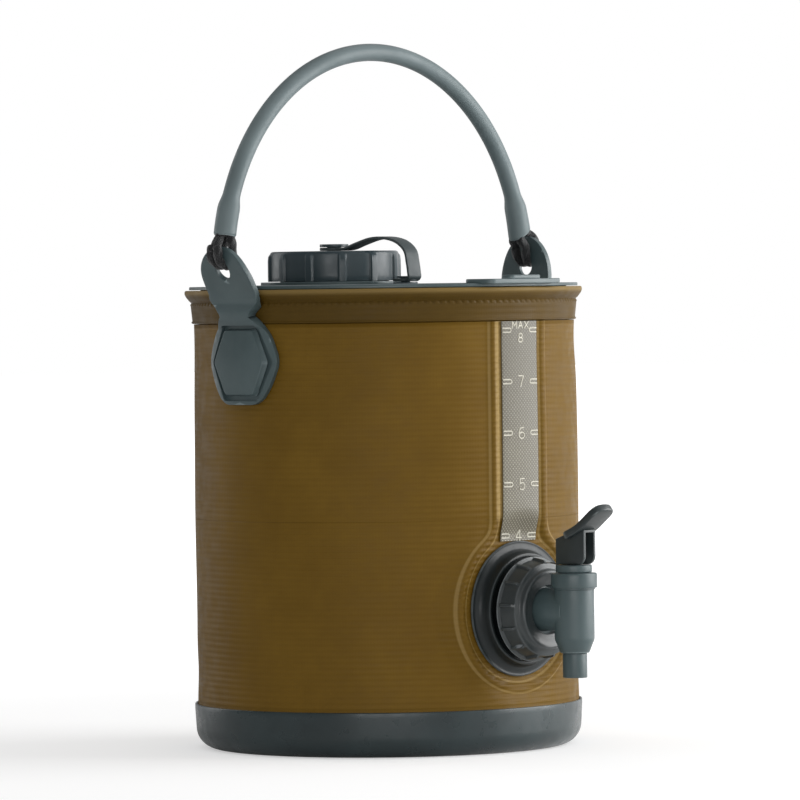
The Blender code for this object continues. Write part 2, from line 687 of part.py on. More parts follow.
def make_lid():
    skirt_outer = HEM_INNER_RADIUS - SOFT_GAP
    skirt_inner = skirt_outer - SKIRT_SKIN
    profile = [
        (0, LID_TOP),
        (LID_RADIUS - LID_EDGE, LID_TOP),
        (LID_RADIUS, LID_TOP - LID_EDGE),
        (LID_RADIUS, LID_BOTTOM),
        (skirt_outer, LID_BOTTOM),
        (skirt_outer, LID_BOTTOM - SKIRT_DEPTH),
        (skirt_inner, LID_BOTTOM - SKIRT_DEPTH),
        (skirt_inner, LID_BOTTOM),
        (0, LID_BOTTOM),
    ]
    lid = lathe("lid", profile, ROUND_STEPS, GREY_LOOK)
    tab_middle = TAB_DEPTH / 2 - TAB_REACH
    tab_height = LID_TOP - TAB_SINK + TAB_THICKNESS / 2
    outline = rounded_rectangle(TAB_WIDTH, TAB_DEPTH, TAB_CORNER)
    tab = flat_plate("lid_tab", outline, TAB_THICKNESS,
                     matrix=Matrix.Translation((0, tab_middle, tab_height)))
    pad_bottom = tab_height + TAB_THICKNESS / 2 - TAB_SINK
    outline = rounded_rectangle(TAB_PAD_WIDTH, TAB_PAD_DEPTH, TAB_CORNER)
    pad = flat_plate("lid_pad", outline, TAB_PAD_HEIGHT + TAB_SINK,
                     matrix=Matrix.Translation((0, tab_middle, pad_bottom + TAB_PAD_HEIGHT / 2)))
    boolean(lid, tab, "UNION")
    boolean(lid, pad, "UNION")
    hole = cylinder("neck_hole", NECK_RADIUS + GAP, LID_BOTTOM - CUT_OVERRUN,
                    LID_TOP + CUT_OVERRUN, NECK_STEPS, matrix=FILLER_FRAME)
    boolean(lid, hole, "DIFFERENCE")


def make_filler():
    flange_bottom = LID_TOP + GAP
    bore = NECK_RADIUS - NECK_WALL
    profile = [
        (NECK_RADIUS, NECK_TOP),
        (NECK_RADIUS, FLANGE_TOP),
        (NECK_FLANGE_RADIUS, FLANGE_TOP),
        (NECK_FLANGE_RADIUS, flange_bottom),
        (NECK_RADIUS, flange_bottom),
        (NECK_RADIUS, LID_BOTTOM - NECK_BELOW_LID),
        (bore, LID_BOTTOM - NECK_BELOW_LID),
        (bore, NECK_TOP),
    ]
    lathe("filler_neck", profile, NECK_STEPS, GREY_LOOK, FILLER_FRAME)
    cap_inner = NECK_RADIUS + SOFT_GAP
    ring("cap_gasket", NECK_RADIUS, bore, NECK_TOP + GAP, CAP_CEILING - GAP, NECK_STEPS,
         RUBBER_LOOK, FILLER_FRAME)
    profile = [(0, CAP_TOP)]
    profile += arc(CAP_RADIUS - CAP_EDGE, CAP_TOP - CAP_EDGE, CAP_EDGE, 90, 0, PROFILE_STEPS)
    profile += [(CAP_RADIUS, CAP_BOTTOM), (cap_inner, CAP_BOTTOM)]
    profile += [(cap_inner, CAP_CEILING), (0, CAP_CEILING)]
    cap = lathe("filler_cap", profile, NECK_STEPS, DARK_LOOK, FILLER_FRAME)
    boolean(cap, make_cap_ribs(), "UNION")
    hole = cylinder("hub_hole", HUB_STUD_RADIUS + GAP, CAP_CEILING - CUT_OVERRUN,
                    CAP_TOP + CUT_OVERRUN, SMALL_STEPS, matrix=FILLER_FRAME)
    boolean(cap, hole, "DIFFERENCE")


def make_cap_ribs():
    """Upright ribs round the cap, rounded over at the top."""
    root = CAP_RADIUS - CAP_SKIN
    crest = CAP_RADIUS + CAP_RIB_PROUD
    round_over = CAP_EDGE + CAP_RIB_PROUD
    outline = [(root, CAP_BOTTOM), (crest, CAP_BOTTOM)]
    outline += arc(crest - round_over, CAP_TOP - CAP_EDGE / 2 - round_over, round_over, 0, 90,
                   CORNER_STEPS)
    outline += [(root, CAP_TOP - CAP_EDGE / 2)]
    ribs = flat_plate("cap_ribs", outline, CAP_RIB_WIDTH)
    ribs.data.transform(PROFILE_FRAME)
    copies_about_axis(ribs.data, CAP_RIBS, CAP_RIB_TURN)
    ribs.matrix_world = FILLER_FRAME
    return ribs


# The tether's route in its upright plane: the share of the way from hub to anchor, and
# the share of the height between the anchor's end and the hub's end
TETHER_ROUTE_SHARES = (
    (0.0, 1.0), (0.207, 1.0), (0.379, 1.146), (0.586, 1.301), (0.776, 1.312),
    (0.948, 1.19), (1.069, 0.914), (1.105, 0.528), (1.121, 0.231), (1.124, 0.088),
    (1.086, 0.0), (0.983, 0.0),
)


def make_tether():
    knots = []
    for along, up in TETHER_ROUTE_SHARES:
        y = FILLER_OFFSET + (ANCHOR_OFFSET - FILLER_OFFSET) * along
        knots.append((y, TETHER_LOW + (TETHER_HIGH - TETHER_LOW) * up))
    outline = ribbon_outline(smooth_path(knots, ROUTE_STEPS), TETHER_THICKNESS)
    strap = flat_plate("cap_tether", outline, TETHER_WIDTH, RUBBER_LOOK, OUTLINE_FRAME)
    half = TETHER_EYE_THICKNESS / 2
    for place_name, frame, level, outer, hole in (
            ("hub", FILLER_FRAME, TETHER_HIGH, HUB_HEAD_RADIUS, HUB_STUD_RADIUS + GAP),
            ("anchor", ANCHOR_FRAME, TETHER_LOW, ANCHOR_BASE_RADIUS, ANCHOR_STUD_RADIUS + GAP)):
        eye = cylinder(place_name + "_eye", outer, level - half, level + half, SMALL_STEPS,
                       matrix=frame)
        bore = cylinder(place_name + "_bore", hole, level - CUT_OVERRUN, level + CUT_OVERRUN,
                        SMALL_STEPS, matrix=frame)
        boolean(strap, eye, "UNION")
        boolean(strap, bore, "DIFFERENCE")
    head_bottom = TETHER_HIGH + half + GAP
    foot_top = CAP_CEILING - GAP
    profile = [
        (0, head_bottom + HUB_HEAD_THICKNESS),
        (HUB_HEAD_RADIUS, head_bottom + HUB_HEAD_THICKNESS),
        (HUB_HEAD_RADIUS, head_bottom),
        (HUB_STUD_RADIUS, head_bottom),
        (HUB_STUD_RADIUS, foot_top),
        (HUB_HEAD_RADIUS, foot_top),
        (HUB_HEAD_RADIUS, foot_top - HUB_HEAD_THICKNESS),
        (0, foot_top - HUB_HEAD_THICKNESS),
    ]
    lathe("tether_hub", profile, SMALL_STEPS, DARK_LOOK, FILLER_FRAME)
    base_top = TETHER_LOW - half - GAP
    head_bottom = TETHER_LOW + half + GAP
    profile = [
        (0, head_bottom + ANCHOR_BASE_THICKNESS),
        (ANCHOR_HEAD_RADIUS, head_bottom + ANCHOR_BASE_THICKNESS),
        (ANCHOR_HEAD_RADIUS, head_bottom),
        (ANCHOR_STUD_RADIUS, head_bottom),
        (ANCHOR_STUD_RADIUS, base_top),
        (ANCHOR_BASE_RADIUS, base_top),
        (ANCHOR_BASE_RADIUS, LID_TOP + GAP),
        (0, LID_TOP + GAP),
    ]
    lathe("tether_anchor", profile, SMALL_STEPS, DARK_LOOK, ANCHOR_FRAME)


def arm_outline(rise, grow):
    """Front outline of an arm: a round foot, a waist and a half ellipse for the ear."""
    foot = FOOT_RADIUS + grow
    waist = ARM_WAIST_WIDTH / 2 + grow
    ear = EAR_HALF_WIDTH + grow
    meet = math.degrees(math.acos(waist / foot))
    right = arc(0, BUTTON_HEIGHT, foot, -90, meet, EAR_STEPS)
    for share in even_steps(0, 1, CORNER_STEPS):
        ease = share * share * (3 - 2 * share)
        height = ARM_WAIST_HEIGHT + (ARM_FLARE_TOP - ARM_WAIST_HEIGHT) * share
        right.append((waist + (ear - waist) * ease, height))
    for angle in even_steps(0, math.pi / 2, EAR_STEPS):
        height = EAR_CENTRE + (rise + grow) * math.sin(angle)
        right.append((ear * math.cos(angle), height))
    return right + [(-y, z) for y, z in right[-2:0:-1]]


# How far the ear has leaned out, as shares of its lean, at shares of its height
EAR_LEAN_SHARES = ((0.0, 0.0), (0.24, 0.36), (0.48, 0.78), (0.72, 1.0), (1.05, 1.06))
ARM_RISE_SHARES = ((0.0, 0.0), (0.22, 0.27), (0.5, 0.62), (0.8, 0.95), (1.0, 1.0))


def arm_path(lean):
    """Middle of an arm's thickness: up the wall, out past the lip and up the ear."""
    on_wall = WALL_RADIUS + SOFT_GAP + ARM_THICKNESS / 2
    on_lip = LIP_RADIUS + SOFT_GAP + ARM_THICKNESS / 2
    low = BUTTON_HEIGHT - FOOT_RADIUS - CUT_OVERRUN
    step_start = ARM_WAIST_HEIGHT - ARM_THICKNESS / 3
    step_end = RIM_HEIGHT - LIP_HEIGHT / 2
    path = [(on_wall, low), (on_wall, (low + step_start) / 2)]
    for up, out in ARM_RISE_SHARES:
        path.append((on_wall + (on_lip - on_wall) * out,
                     step_start + (step_end - step_start) * up))
    ear_height = EAR_CENTRE + RIGHT_EAR_RISE - step_end
    for up, out in EAR_LEAN_SHARES[1:]:
        path.append((on_lip + lean * out, step_end + ear_height * up))
    return path


def arm_offset(lean, height):
    """How far the middle of an arm lies from the bag's axis at a height."""
    path = arm_path(lean)
    for (low_out, low), (high_out, high) in zip(path, path[1:]):
        if low <= height <= high:
            return low_out + (high_out - low_out) * (height - low) / (high - low)
    return path[-1][0]


def arm_blank(name, side, rise, lean, grow, look=None):
    """An arm as the overlap of its side profile and its front outline."""
    profile = ribbon_outline(smooth_path(arm_path(lean), PROFILE_STEPS), ARM_THICKNESS + 2 * grow)
    profile = [(side * out, up) for out, up in profile]
    width = 2 * EAR_HALF_WIDTH + 4 * CUT_OVERRUN
    arm = flat_plate(name, profile, width, look, PROFILE_FRAME)
    middle = (WALL_RADIUS + LIP_RADIUS + LEFT_EAR_LEAN) / 2
    depth = LIP_RADIUS - WALL_RADIUS + LEFT_EAR_LEAN + 6 * ARM_THICKNESS
    front = flat_plate(name + "_front", arm_outline(rise, grow), depth,
                       matrix=Matrix.Translation((side * middle, 0, 0)) @ OUTLINE_FRAME)
    boolean(arm, front, "INTERSECT")
    return arm


def side_frame(side, height):
    """Frame whose local Z points out of the bag at a height on its left or right."""
    turn = Matrix.Rotation(0 if side > 0 else math.pi, 4, "Z")
    return turn @ Matrix.Translation((0, 0, height)) @ OUTLINE_FRAME


def make_arm(word, side, rise, lean):
    """An arm with its button, its fixing and the cord's loop. Returns the screw's hole."""
    arm = arm_blank("handle_arm_" + word, side, rise, lean, 0, GREY_LOOK)
    frame = side_frame(side, BUTTON_HEIGHT)
    arm_face = WALL_RADIUS + SOFT_GAP + ARM_THICKNESS
    tip = arm_face + GAP + SCREW_BITE
    plate_face = WALL_RADIUS - FABRIC - SOFT_GAP
    head_top = plate_face - PLATE_THICKNESS - GAP
    hole = cylinder("screw_hole_" + word, SCREW_RADIUS + GAP, head_top, tip + GAP, SCREW_STEPS,
                    matrix=frame)
    boolean(arm, hole, "DIFFERENCE")
    far = LIP_RADIUS + LEFT_EAR_LEAN + 4 * ARM_THICKNESS
    cord_hole = cylinder("cord_hole_" + word, HOLE_RADIUS, WALL_RADIUS, far, SMALL_STEPS,
                         matrix=side_frame(side, HOLE_HEIGHT))
    boolean(arm, cord_hole, "DIFFERENCE")

    face = WALL_RADIUS + BUTTON_PROUD
    profile = [(0, face), (BUTTON_FACE_RADIUS, face), (BUTTON_RADIUS, face - BUTTON_BEVEL),
               (BUTTON_RADIUS, BUTTON_BACK), (0, BUTTON_BACK)]
    button = lathe("arm_button_" + word, profile, HEX_SIDES, GREY_LOOK, frame)
    bag = cylinder("bag_form_" + word, WALL_RADIUS + SOFT_GAP,
                   BUTTON_HEIGHT - BUTTON_RADIUS - CUT_OVERRUN,
                   BUTTON_HEIGHT + BUTTON_RADIUS + CUT_OVERRUN, ROUND_STEPS)
    recess = arm_blank("arm_recess_" + word, side, rise, lean, GAP)
    for cutter in (bag, recess, hole):
        boolean(button, cutter, "DIFFERENCE")

    half_angle = math.degrees(PLATE_SIZE / 2 / plate_face)

    def point_at(azimuth, height):
        angle = math.radians(azimuth)
        return side * plate_face * math.cos(angle), side * plate_face * math.sin(angle), height

    rows = [BUTTON_HEIGHT - PLATE_SIZE / 2, BUTTON_HEIGHT + PLATE_SIZE / 2]
    columns = even_steps(-half_angle, half_angle, CORNER_STEPS)
    plate = sheet("arm_backing_plate_" + word, columns, rows, point_at, PLATE_THICKNESS, GREY_LOOK)
    boolean(plate, hole, "DIFFERENCE")
    profile = [(0, tip), (SCREW_RADIUS, tip), (SCREW_RADIUS, head_top - GAP),
               (SCREW_HEAD_RADIUS, head_top - GAP),
               (SCREW_HEAD_RADIUS, head_top - GAP - SCREW_HEAD_THICKNESS),
               (0, head_top - GAP - SCREW_HEAD_THICKNESS)]
    lathe("arm_screw_" + word, profile, SCREW_STEPS, STEEL_LOOK, frame)
    make_cord_loop(word, side, lean)
    return hole


def make_cord_loop(word, side, lean):
    """The cord down one face of the ear, through its hole and up the other face."""
    in_hole = HOLE_HEIGHT + HOLE_RADIUS - CORD_RADIUS - GAP
    above = HOLE_HEIGHT + HOLE_RADIUS + CORD_RADIUS
    top = handle_point(HANDLE_END_ANGLE)[2] - LOOP_GAP
    aside = ARM_THICKNESS / 2 + CORD_RADIUS + 3 * SOFT_GAP
    middle = arm_offset(lean, HOLE_HEIGHT)
    drift = arm_offset(lean, above) - middle
    knots = [(arm_offset(lean, top) + aside, top),
             (arm_offset(lean, above) + aside, above),
             (middle + ARM_THICKNESS + drift, in_hole),
             (middle, in_hole),
             (middle - ARM_THICKNESS, in_hole),
             (arm_offset(lean, above) - aside, above),
             (arm_offset(lean, top) - aside, top)]
    points = [(side * out, 0, up) for out, up in smooth_path(knots, ROUTE_STEPS)]
    place("cord_loop_" + word, rod_mesh("cord_loop_" + word, points, CORD_RADIUS), CORD_LOOK)


def handle_point(angle):
    """A point of the handle's middle line at an angle of its ellipse, in degrees."""
    turn = math.radians(angle)
    x = HANDLE_SHIFT + HANDLE_HALF_SPAN * math.cos(turn)
    return x, 0, HOLE_HEIGHT + HANDLE_RISE * math.sin(turn)


def make_handle():
    angles = even_steps(HANDLE_END_ANGLE, 180 - HANDLE_END_ANGLE, HANDLE_POINTS - 1)
    cuff = CUFF_RADIUS / HANDLE_RADIUS
    shares = []
    for index in range(HANDLE_POINTS):
        from_end = min(index, HANDLE_POINTS - 1 - index)
        shares.append(cuff if from_end < CUFF_POINTS else 1)
    points = [handle_point(angle) for angle in angles]
    tube = place("handle_tube", rod_mesh("handle_tube", points, HANDLE_RADIUS, shares),
                 HANDLE_LOOK)
    longer = [handle_point(angles[0] - 1)] + points + [handle_point(angles[-1] + 1)]
    bore = place("handle_bore", rod_mesh("handle_bore", longer, HANDLE_BORE))
    boolean(tube, bore, "DIFFERENCE")
    place("handle_cord", rod_mesh("handle_cord", points, CORD_RADIUS, resolution=1), CORD_LOOK)


def make_tap_fitting():
    lip_top = FLANGE_FRONT + FLANGE_LIP_HEIGHT
    profile = [
        (SPIGOT_RADIUS, SPIGOT_END),
        (SPIGOT_RADIUS, FLANGE_FRONT),
        (FLANGE_LIP_RADIUS - FLANGE_LIP_SKIN, FLANGE_FRONT),
        (FLANGE_LIP_RADIUS - FLANGE_LIP_SKIN, lip_top),
        (FLANGE_LIP_RADIUS, lip_top),
        (FLANGE_RADIUS, FLANGE_BACK + FLANGE_EDGE),
        (FLANGE_RADIUS, FLANGE_BACK),
        (TAIL_RADIUS, FLANGE_BACK),
        (TAIL_RADIUS, TAIL_END),
        (TAIL_BORE, TAIL_END),
        (TAIL_BORE, SPIGOT_END),
    ]
    lathe("tap_flange", profile, FLANGE_STEPS, DARK_LOOK, TAP_FRAME)
    around_tail = TAIL_RADIUS + GAP
    ring("flange_gasket", TAP_GASKET_RADIUS, around_tail, GASKET_FACE - TAP_GASKET_THICKNESS,
         GASKET_FACE, SMALL_STEPS, RUBBER_LOOK, TAP_FRAME)
    ring("tap_backing_ring", BACKING_RADIUS, around_tail, BACKING_FACE - BACKING_THICKNESS,
         BACKING_FACE, SMALL_STEPS, GREY_LOOK, TAP_FRAME)
    nut = cylinder("inlet_nut", INLET_NUT_RADIUS, NUT_FACE - INLET_NUT_THICKNESS, NUT_FACE, HEX_SIDES,
                   DARK_LOOK, TAP_FRAME)
    nut_bore = cylinder("inlet_nut_bore", around_tail, TAIL_END, NUT_FACE + CUT_OVERRUN,
                        SMALL_STEPS, matrix=TAP_FRAME)
    boolean(nut, nut_bore, "DIFFERENCE")
    ring("tap_washer", SPIGOT_RADIUS - GAP, STUB_RADIUS, SPIGOT_END + GAP,
         SPIGOT_END + GAP + WASHER_THICKNESS, SMALL_STEPS, RUBBER_LOOK, TAP_FRAME)


def make_union_nut():
    bore = STUB_RADIUS + UNION_CLEARANCE
    front = NUT_SHOULDER + UNION_LIP
    face = front + UNION_FACE_DEPTH
    profile = [
        (UNION_FACE_RADIUS, face),
        (UNION_RADIUS, face - UNION_CLEARANCE),
        (UNION_RADIUS, UNION_START),
        (UNION_THREAD_RADIUS, UNION_START),
        (UNION_THREAD_RADIUS, NUT_SHOULDER),
        (bore, NUT_SHOULDER),
        (bore, front),
        (UNION_FACE_STEP, front),
        (UNION_FACE_STEP, face),
    ]
    nut = lathe("union_nut", profile, UNION_STEPS, DARK_LOOK, TAP_FRAME)
    root = UNION_RADIUS - UNION_RIB_PROUD
    crest = UNION_RADIUS + UNION_RIB_PROUD
    start = UNION_START + UNION_CLEARANCE
    outline = [(root, start), (crest - UNION_CLEARANCE, start), (crest, start + UNION_CLEARANCE),
               (crest, start + UNION_RIB_LENGTH - UNION_CLEARANCE),
               (crest - UNION_CLEARANCE, start + UNION_RIB_LENGTH),
               (root, start + UNION_RIB_LENGTH)]
    ribs = flat_plate("union_ribs", outline, UNION_RIB_WIDTH)
    ribs.data.transform(PROFILE_FRAME)
    copies_about_axis(ribs.data, UNION_RIBS, 0)
    ribs.matrix_world = TAP_FRAME
    boolean(nut, ribs, "UNION")


def make_tap_body():
    profile = [
        (0, COLLAR_TOP),
        (COLLAR_RADIUS, COLLAR_TOP),
        (COLLAR_RADIUS, COLLAR_START),
        (BARREL_RADIUS, COLLAR_START),
        (BARREL_RADIUS, BARREL_FOOT),
        (BARREL_END_RADIUS, BARREL_END),
        (0, BARREL_END),
    ]
    body = lathe("tap_body", profile, SMALL_STEPS, GREY_LOOK, BARREL_FRAME)
    profile = [
        (0, BARREL_OFFSET),
        (STUB_RADIUS, BARREL_OFFSET),
        (STUB_RADIUS, BODY_START + BODY_FLANGE_THICKNESS),
        (BODY_FLANGE_RADIUS, BODY_START + BODY_FLANGE_THICKNESS),
        (BODY_FLANGE_RADIUS, BODY_START),
        (0, BODY_START),
    ]
    stub = lathe("tap_stub", profile, SMALL_STEPS, matrix=TAP_FRAME)
    socket = NOZZLE_SPIGOT_RADIUS + GAP
    socket_top = BARREL_END + NOZZLE_SPIGOT + GAP
    profile = [
        (0, COLLAR_TOP + CUT_OVERRUN),
        (BARREL_BORE, COLLAR_TOP + CUT_OVERRUN),
        (BARREL_BORE, SEAT_HEIGHT),
        (SEAT_BORE, SEAT_HEIGHT),
        (SEAT_BORE, socket_top),
        (socket, socket_top),
        (socket, BARREL_END - CUT_OVERRUN),
        (0, BARREL_END - CUT_OVERRUN),
    ]
    bore = lathe("barrel_bore", profile, SMALL_STEPS, matrix=BARREL_FRAME)
    inlet = cylinder("inlet_bore", STUB_BORE, BODY_START - CUT_OVERRUN, BARREL_OFFSET,
                     SMALL_STEPS, matrix=TAP_FRAME)
    boolean(body, stub, "UNION")
    boolean(body, bore, "DIFFERENCE")
    boolean(body, inlet, "DIFFERENCE")
    profile = [
        (NOZZLE_SPIGOT_RADIUS, BARREL_END + NOZZLE_SPIGOT),
        (NOZZLE_SPIGOT_RADIUS, BARREL_END - GAP),
        (NOZZLE_RADIUS, BARREL_END - GAP),
        (NOZZLE_RADIUS, NOZZLE_END),
        (NOZZLE_BORE, NOZZLE_END),
        (NOZZLE_BORE, BARREL_END + NOZZLE_SPIGOT),
    ]
    lathe("outlet_nozzle", profile, SMALL_STEPS, GREY_LOOK, BARREL_FRAME)
    plug = BARREL_BORE - GAP
    guide = STEM_RADIUS + SOFT_GAP
    profile = [
        (BONNET_RADIUS, BONNET_TOP),
        (BONNET_RADIUS, COLLAR_TOP + GAP),
        (plug, COLLAR_TOP + GAP),
        (plug, COLLAR_TOP - BONNET_PLUG_DEPTH),
        (guide, COLLAR_TOP - BONNET_PLUG_DEPTH),
        (guide, BONNET_TOP),
    ]
    lathe("tap_bonnet", profile, SMALL_STEPS, GREY_LOOK, BARREL_FRAME)


def make_valve():
    cup_bottom = SEAT_HEIGHT + GAP
    foot_bottom = cup_bottom + SEAT_CUP_THICKNESS + GAP
    foot_top = foot_bottom + STEM_FOOT_THICKNESS
    cylinder("seat_cup", SEAT_CUP_RADIUS, cup_bottom, cup_bottom + SEAT_CUP_THICKNESS,
             SMALL_STEPS, RUBBER_LOOK, BARREL_FRAME)
    profile = [
        (0, STEM_BLOCK_BOTTOM + CUT_OVERRUN),
        (STEM_RADIUS, STEM_BLOCK_BOTTOM + CUT_OVERRUN),
        (STEM_RADIUS, foot_top),
        (STEM_FOOT_RADIUS, foot_top),
        (STEM_FOOT_RADIUS, foot_bottom),
        (0, foot_bottom),
    ]
    stem = lathe("valve_stem", profile, SCREW_STEPS, STEEL_LOOK, BARREL_FRAME)
    half = STEM_BLOCK_DEPTH / 2
    block = box("stem_block", (-STEM_BLOCK_WIDTH / 2, -BARREL_OFFSET - half, STEM_BLOCK_BOTTOM),
                (STEM_BLOCK_WIDTH / 2, -BARREL_OFFSET + half, STEM_BLOCK_TOP))
    boolean(stem, block, "UNION")
    boolean(stem, pin_hole("stem_pin_hole", STEM_BLOCK_WIDTH), "DIFFERENCE")
    low = foot_top + GAP + SPRING_WIRE
    high = COLLAR_TOP - BONNET_PLUG_DEPTH - GAP - SPRING_WIRE
    points = []
    count = SPRING_TURNS * SPRING_TURN_POINTS
    for index in range(count + 1):
        turn = math.tau * index / SPRING_TURN_POINTS
        points.append((SPRING_RADIUS * math.cos(turn),
                       SPRING_RADIUS * math.sin(turn) - BARREL_OFFSET,
                       low + (high - low) * index / count))
    spring = rod_mesh("tap_spring", points, SPRING_WIRE, resolution=1)
    place("tap_spring", spring, STEEL_LOOK)


def pin_hole(name, length):
    reach = length / 2 + CUT_OVERRUN
    frame = Matrix.Translation((0, -BARREL_OFFSET, PIN_HEIGHT)) @ OUTLINE_FRAME
    return cylinder(name, PIN_RADIUS + GAP, -reach, reach, SCREW_STEPS, matrix=frame)


def make_lever():
    bottom = BONNET_TOP + GAP
    corner = arc(LEVER_FRONT - LEVER_CORNER, bottom + LEVER_CORNER, LEVER_CORNER, -90, 0,
                 CORNER_STEPS)
    half = LEVER_PADDLE_THICKNESS / 2
    outline = [(-LEVER_BACK, bottom)] + corner
    outline += [(LEVER_FRONT, LEVER_KNEE_HEIGHT - 2 * LEVER_CORNER / 3),
                (LEVER_KNEE_OFFSET, LEVER_KNEE_HEIGHT - half), (-LEVER_BACK, LEVER_HEEL_TOP)]
    outline = [(-BARREL_OFFSET - along, up) for along, up in outline]
    lever = flat_plate("tap_lever", outline, LEVER_WIDTH, DARK_LOOK, OUTLINE_FRAME)
    paddle_end = LEVER_TIP_OFFSET - half / 2
    slope = (LEVER_KNEE_HEIGHT - LEVER_HEEL_TOP) / (LEVER_KNEE_OFFSET + LEVER_BACK)
    knots = [
        (0, LEVER_HEEL_TOP + slope * LEVER_BACK - half),
        (LEVER_KNEE_OFFSET, LEVER_KNEE_HEIGHT - half),
        ((LEVER_KNEE_OFFSET + paddle_end) / 2,
         (LEVER_KNEE_HEIGHT + LEVER_TIP_HEIGHT) / 2 - half - SOFT_GAP),
        (paddle_end, LEVER_TIP_HEIGHT - half),
    ]
    knots = [(-BARREL_OFFSET - along, up) for along, up in knots]
    outline = ribbon_outline(smooth_path(knots, ROUTE_STEPS), LEVER_PADDLE_THICKNESS)
    paddle = flat_plate("lever_paddle", outline, LEVER_PADDLE_WIDTH, matrix=OUTLINE_FRAME)
    boolean(lever, paddle, "UNION")
    slot = box("lever_slot",
               (-LEVER_SLOT / 2, -BARREL_OFFSET - LEVER_FRONT - CUT_OVERRUN,
                bottom - CUT_OVERRUN),
               (LEVER_SLOT / 2, -BARREL_OFFSET + LEVER_SLOT_BACK, LEVER_SLOT_ROOF))
    boolean(lever, slot, "DIFFERENCE")
    boolean(lever, pin_hole("lever_pin_hole", LEVER_WIDTH), "DIFFERENCE")
    frame = Matrix.Translation((0, -BARREL_OFFSET, PIN_HEIGHT)) @ OUTLINE_FRAME
    cylinder("lever_pin", PIN_RADIUS, -PIN_LENGTH / 2, PIN_LENGTH / 2, SCREW_STEPS, STEEL_LOOK,
             frame)


make_base_tub()
make_bag_floor()
make_wall_lower()
make_wall_fold([
    make_arm("left", -1, LEFT_EAR_RISE, LEFT_EAR_LEAN),
    make_arm("right", 1, RIGHT_EAR_RISE, RIGHT_EAR_LEAN),
])
make_gauge_window()
make_hem()
make_lid()
make_filler()
make_tether()
make_handle()
make_tap_fitting()
make_union_nut()
make_tap_body()
make_valve()
make_lever()
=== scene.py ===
import json
import math

import bmesh
import bpy
from mathutils import Matrix, Vector, noise

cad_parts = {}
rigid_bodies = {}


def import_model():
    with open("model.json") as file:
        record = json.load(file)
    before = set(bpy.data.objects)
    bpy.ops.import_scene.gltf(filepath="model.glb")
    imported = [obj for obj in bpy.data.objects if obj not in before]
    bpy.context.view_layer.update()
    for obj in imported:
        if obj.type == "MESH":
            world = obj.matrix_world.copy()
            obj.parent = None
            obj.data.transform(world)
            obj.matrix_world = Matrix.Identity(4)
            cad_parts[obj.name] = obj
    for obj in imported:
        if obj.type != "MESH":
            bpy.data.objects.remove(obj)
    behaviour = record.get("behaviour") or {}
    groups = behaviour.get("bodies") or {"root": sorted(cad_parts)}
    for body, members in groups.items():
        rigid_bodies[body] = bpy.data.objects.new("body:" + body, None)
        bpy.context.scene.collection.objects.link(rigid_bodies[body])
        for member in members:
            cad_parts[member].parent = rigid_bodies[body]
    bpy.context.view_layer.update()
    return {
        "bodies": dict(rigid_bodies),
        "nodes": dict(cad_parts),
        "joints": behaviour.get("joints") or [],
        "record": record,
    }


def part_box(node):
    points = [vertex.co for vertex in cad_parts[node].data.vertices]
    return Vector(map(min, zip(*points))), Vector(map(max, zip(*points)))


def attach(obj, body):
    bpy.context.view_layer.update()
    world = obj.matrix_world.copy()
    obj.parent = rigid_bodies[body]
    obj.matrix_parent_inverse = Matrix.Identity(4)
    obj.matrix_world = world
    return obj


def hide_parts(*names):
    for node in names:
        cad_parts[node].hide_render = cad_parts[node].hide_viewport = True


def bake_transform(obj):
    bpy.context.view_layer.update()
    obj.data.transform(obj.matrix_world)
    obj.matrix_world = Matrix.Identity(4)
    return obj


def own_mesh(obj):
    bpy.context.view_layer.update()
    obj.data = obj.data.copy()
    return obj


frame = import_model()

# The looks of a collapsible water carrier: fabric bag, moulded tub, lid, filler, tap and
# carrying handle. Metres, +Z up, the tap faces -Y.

# Sizes read from the frame
JOINTS = {joint["name"]: joint for joint in frame["joints"]}
TUB_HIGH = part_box("base_tub")[1]
WALL_LOW, WALL_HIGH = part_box("wall_lower")
FOLD_LOW, FOLD_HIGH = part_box("wall_fold")
HEM_LOW, HEM_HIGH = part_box("top_hem")
LID_LOW, LID_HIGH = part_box("lid")
NECK_LOW, NECK_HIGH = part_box("filler_neck")
CAP_LOW, CAP_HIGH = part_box("filler_cap")
HUB_LOW, HUB_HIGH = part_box("tether_hub")
ANCHOR_LOW, ANCHOR_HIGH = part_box("tether_anchor")
FLANGE_LOW, FLANGE_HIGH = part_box("tap_flange")
UNION_LOW, UNION_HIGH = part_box("union_nut")
BODY_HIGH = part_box("tap_body")[1]
BONNET_LOW, BONNET_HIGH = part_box("tap_bonnet")
NOZZLE_LOW, NOZZLE_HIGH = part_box("outlet_nozzle")
LEVER_LOW, LEVER_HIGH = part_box("tap_lever")
STEM_LOW, STEM_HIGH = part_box("valve_stem")
GAUGE_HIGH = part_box("gauge_window")[1]
BUTTON_LOW, BUTTON_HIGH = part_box("arm_button_right")
LEFT_ARM_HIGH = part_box("handle_arm_left")[1]
RIGHT_ARM_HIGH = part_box("handle_arm_right")[1]

TUB_RADIUS = TUB_HIGH.x
TUB_HEIGHT = TUB_HIGH.z
WALL_RADIUS = WALL_HIGH.x
LIP_RADIUS = HEM_HIGH.x
RIM_HEIGHT = HEM_HIGH.z
LID_RADIUS = LID_HIGH.x
CAP_CENTRE = (CAP_LOW.y + CAP_HIGH.y) / 2
TAP_CENTRE = (FLANGE_LOW.z + FLANGE_HIGH.z) / 2
FLANGE_RADIUS = FLANGE_HIGH.x
BARREL_CENTRE = (BONNET_LOW.y + BONNET_HIGH.y) / 2
PIVOT_HEIGHT = JOINTS["handle_swing"]["pos_m"][2]
BUTTON_HEIGHT = (BUTTON_LOW.z + BUTTON_HIGH.z) / 2
PIN_HEIGHT = JOINTS["lever_press"]["pos_m"][2]

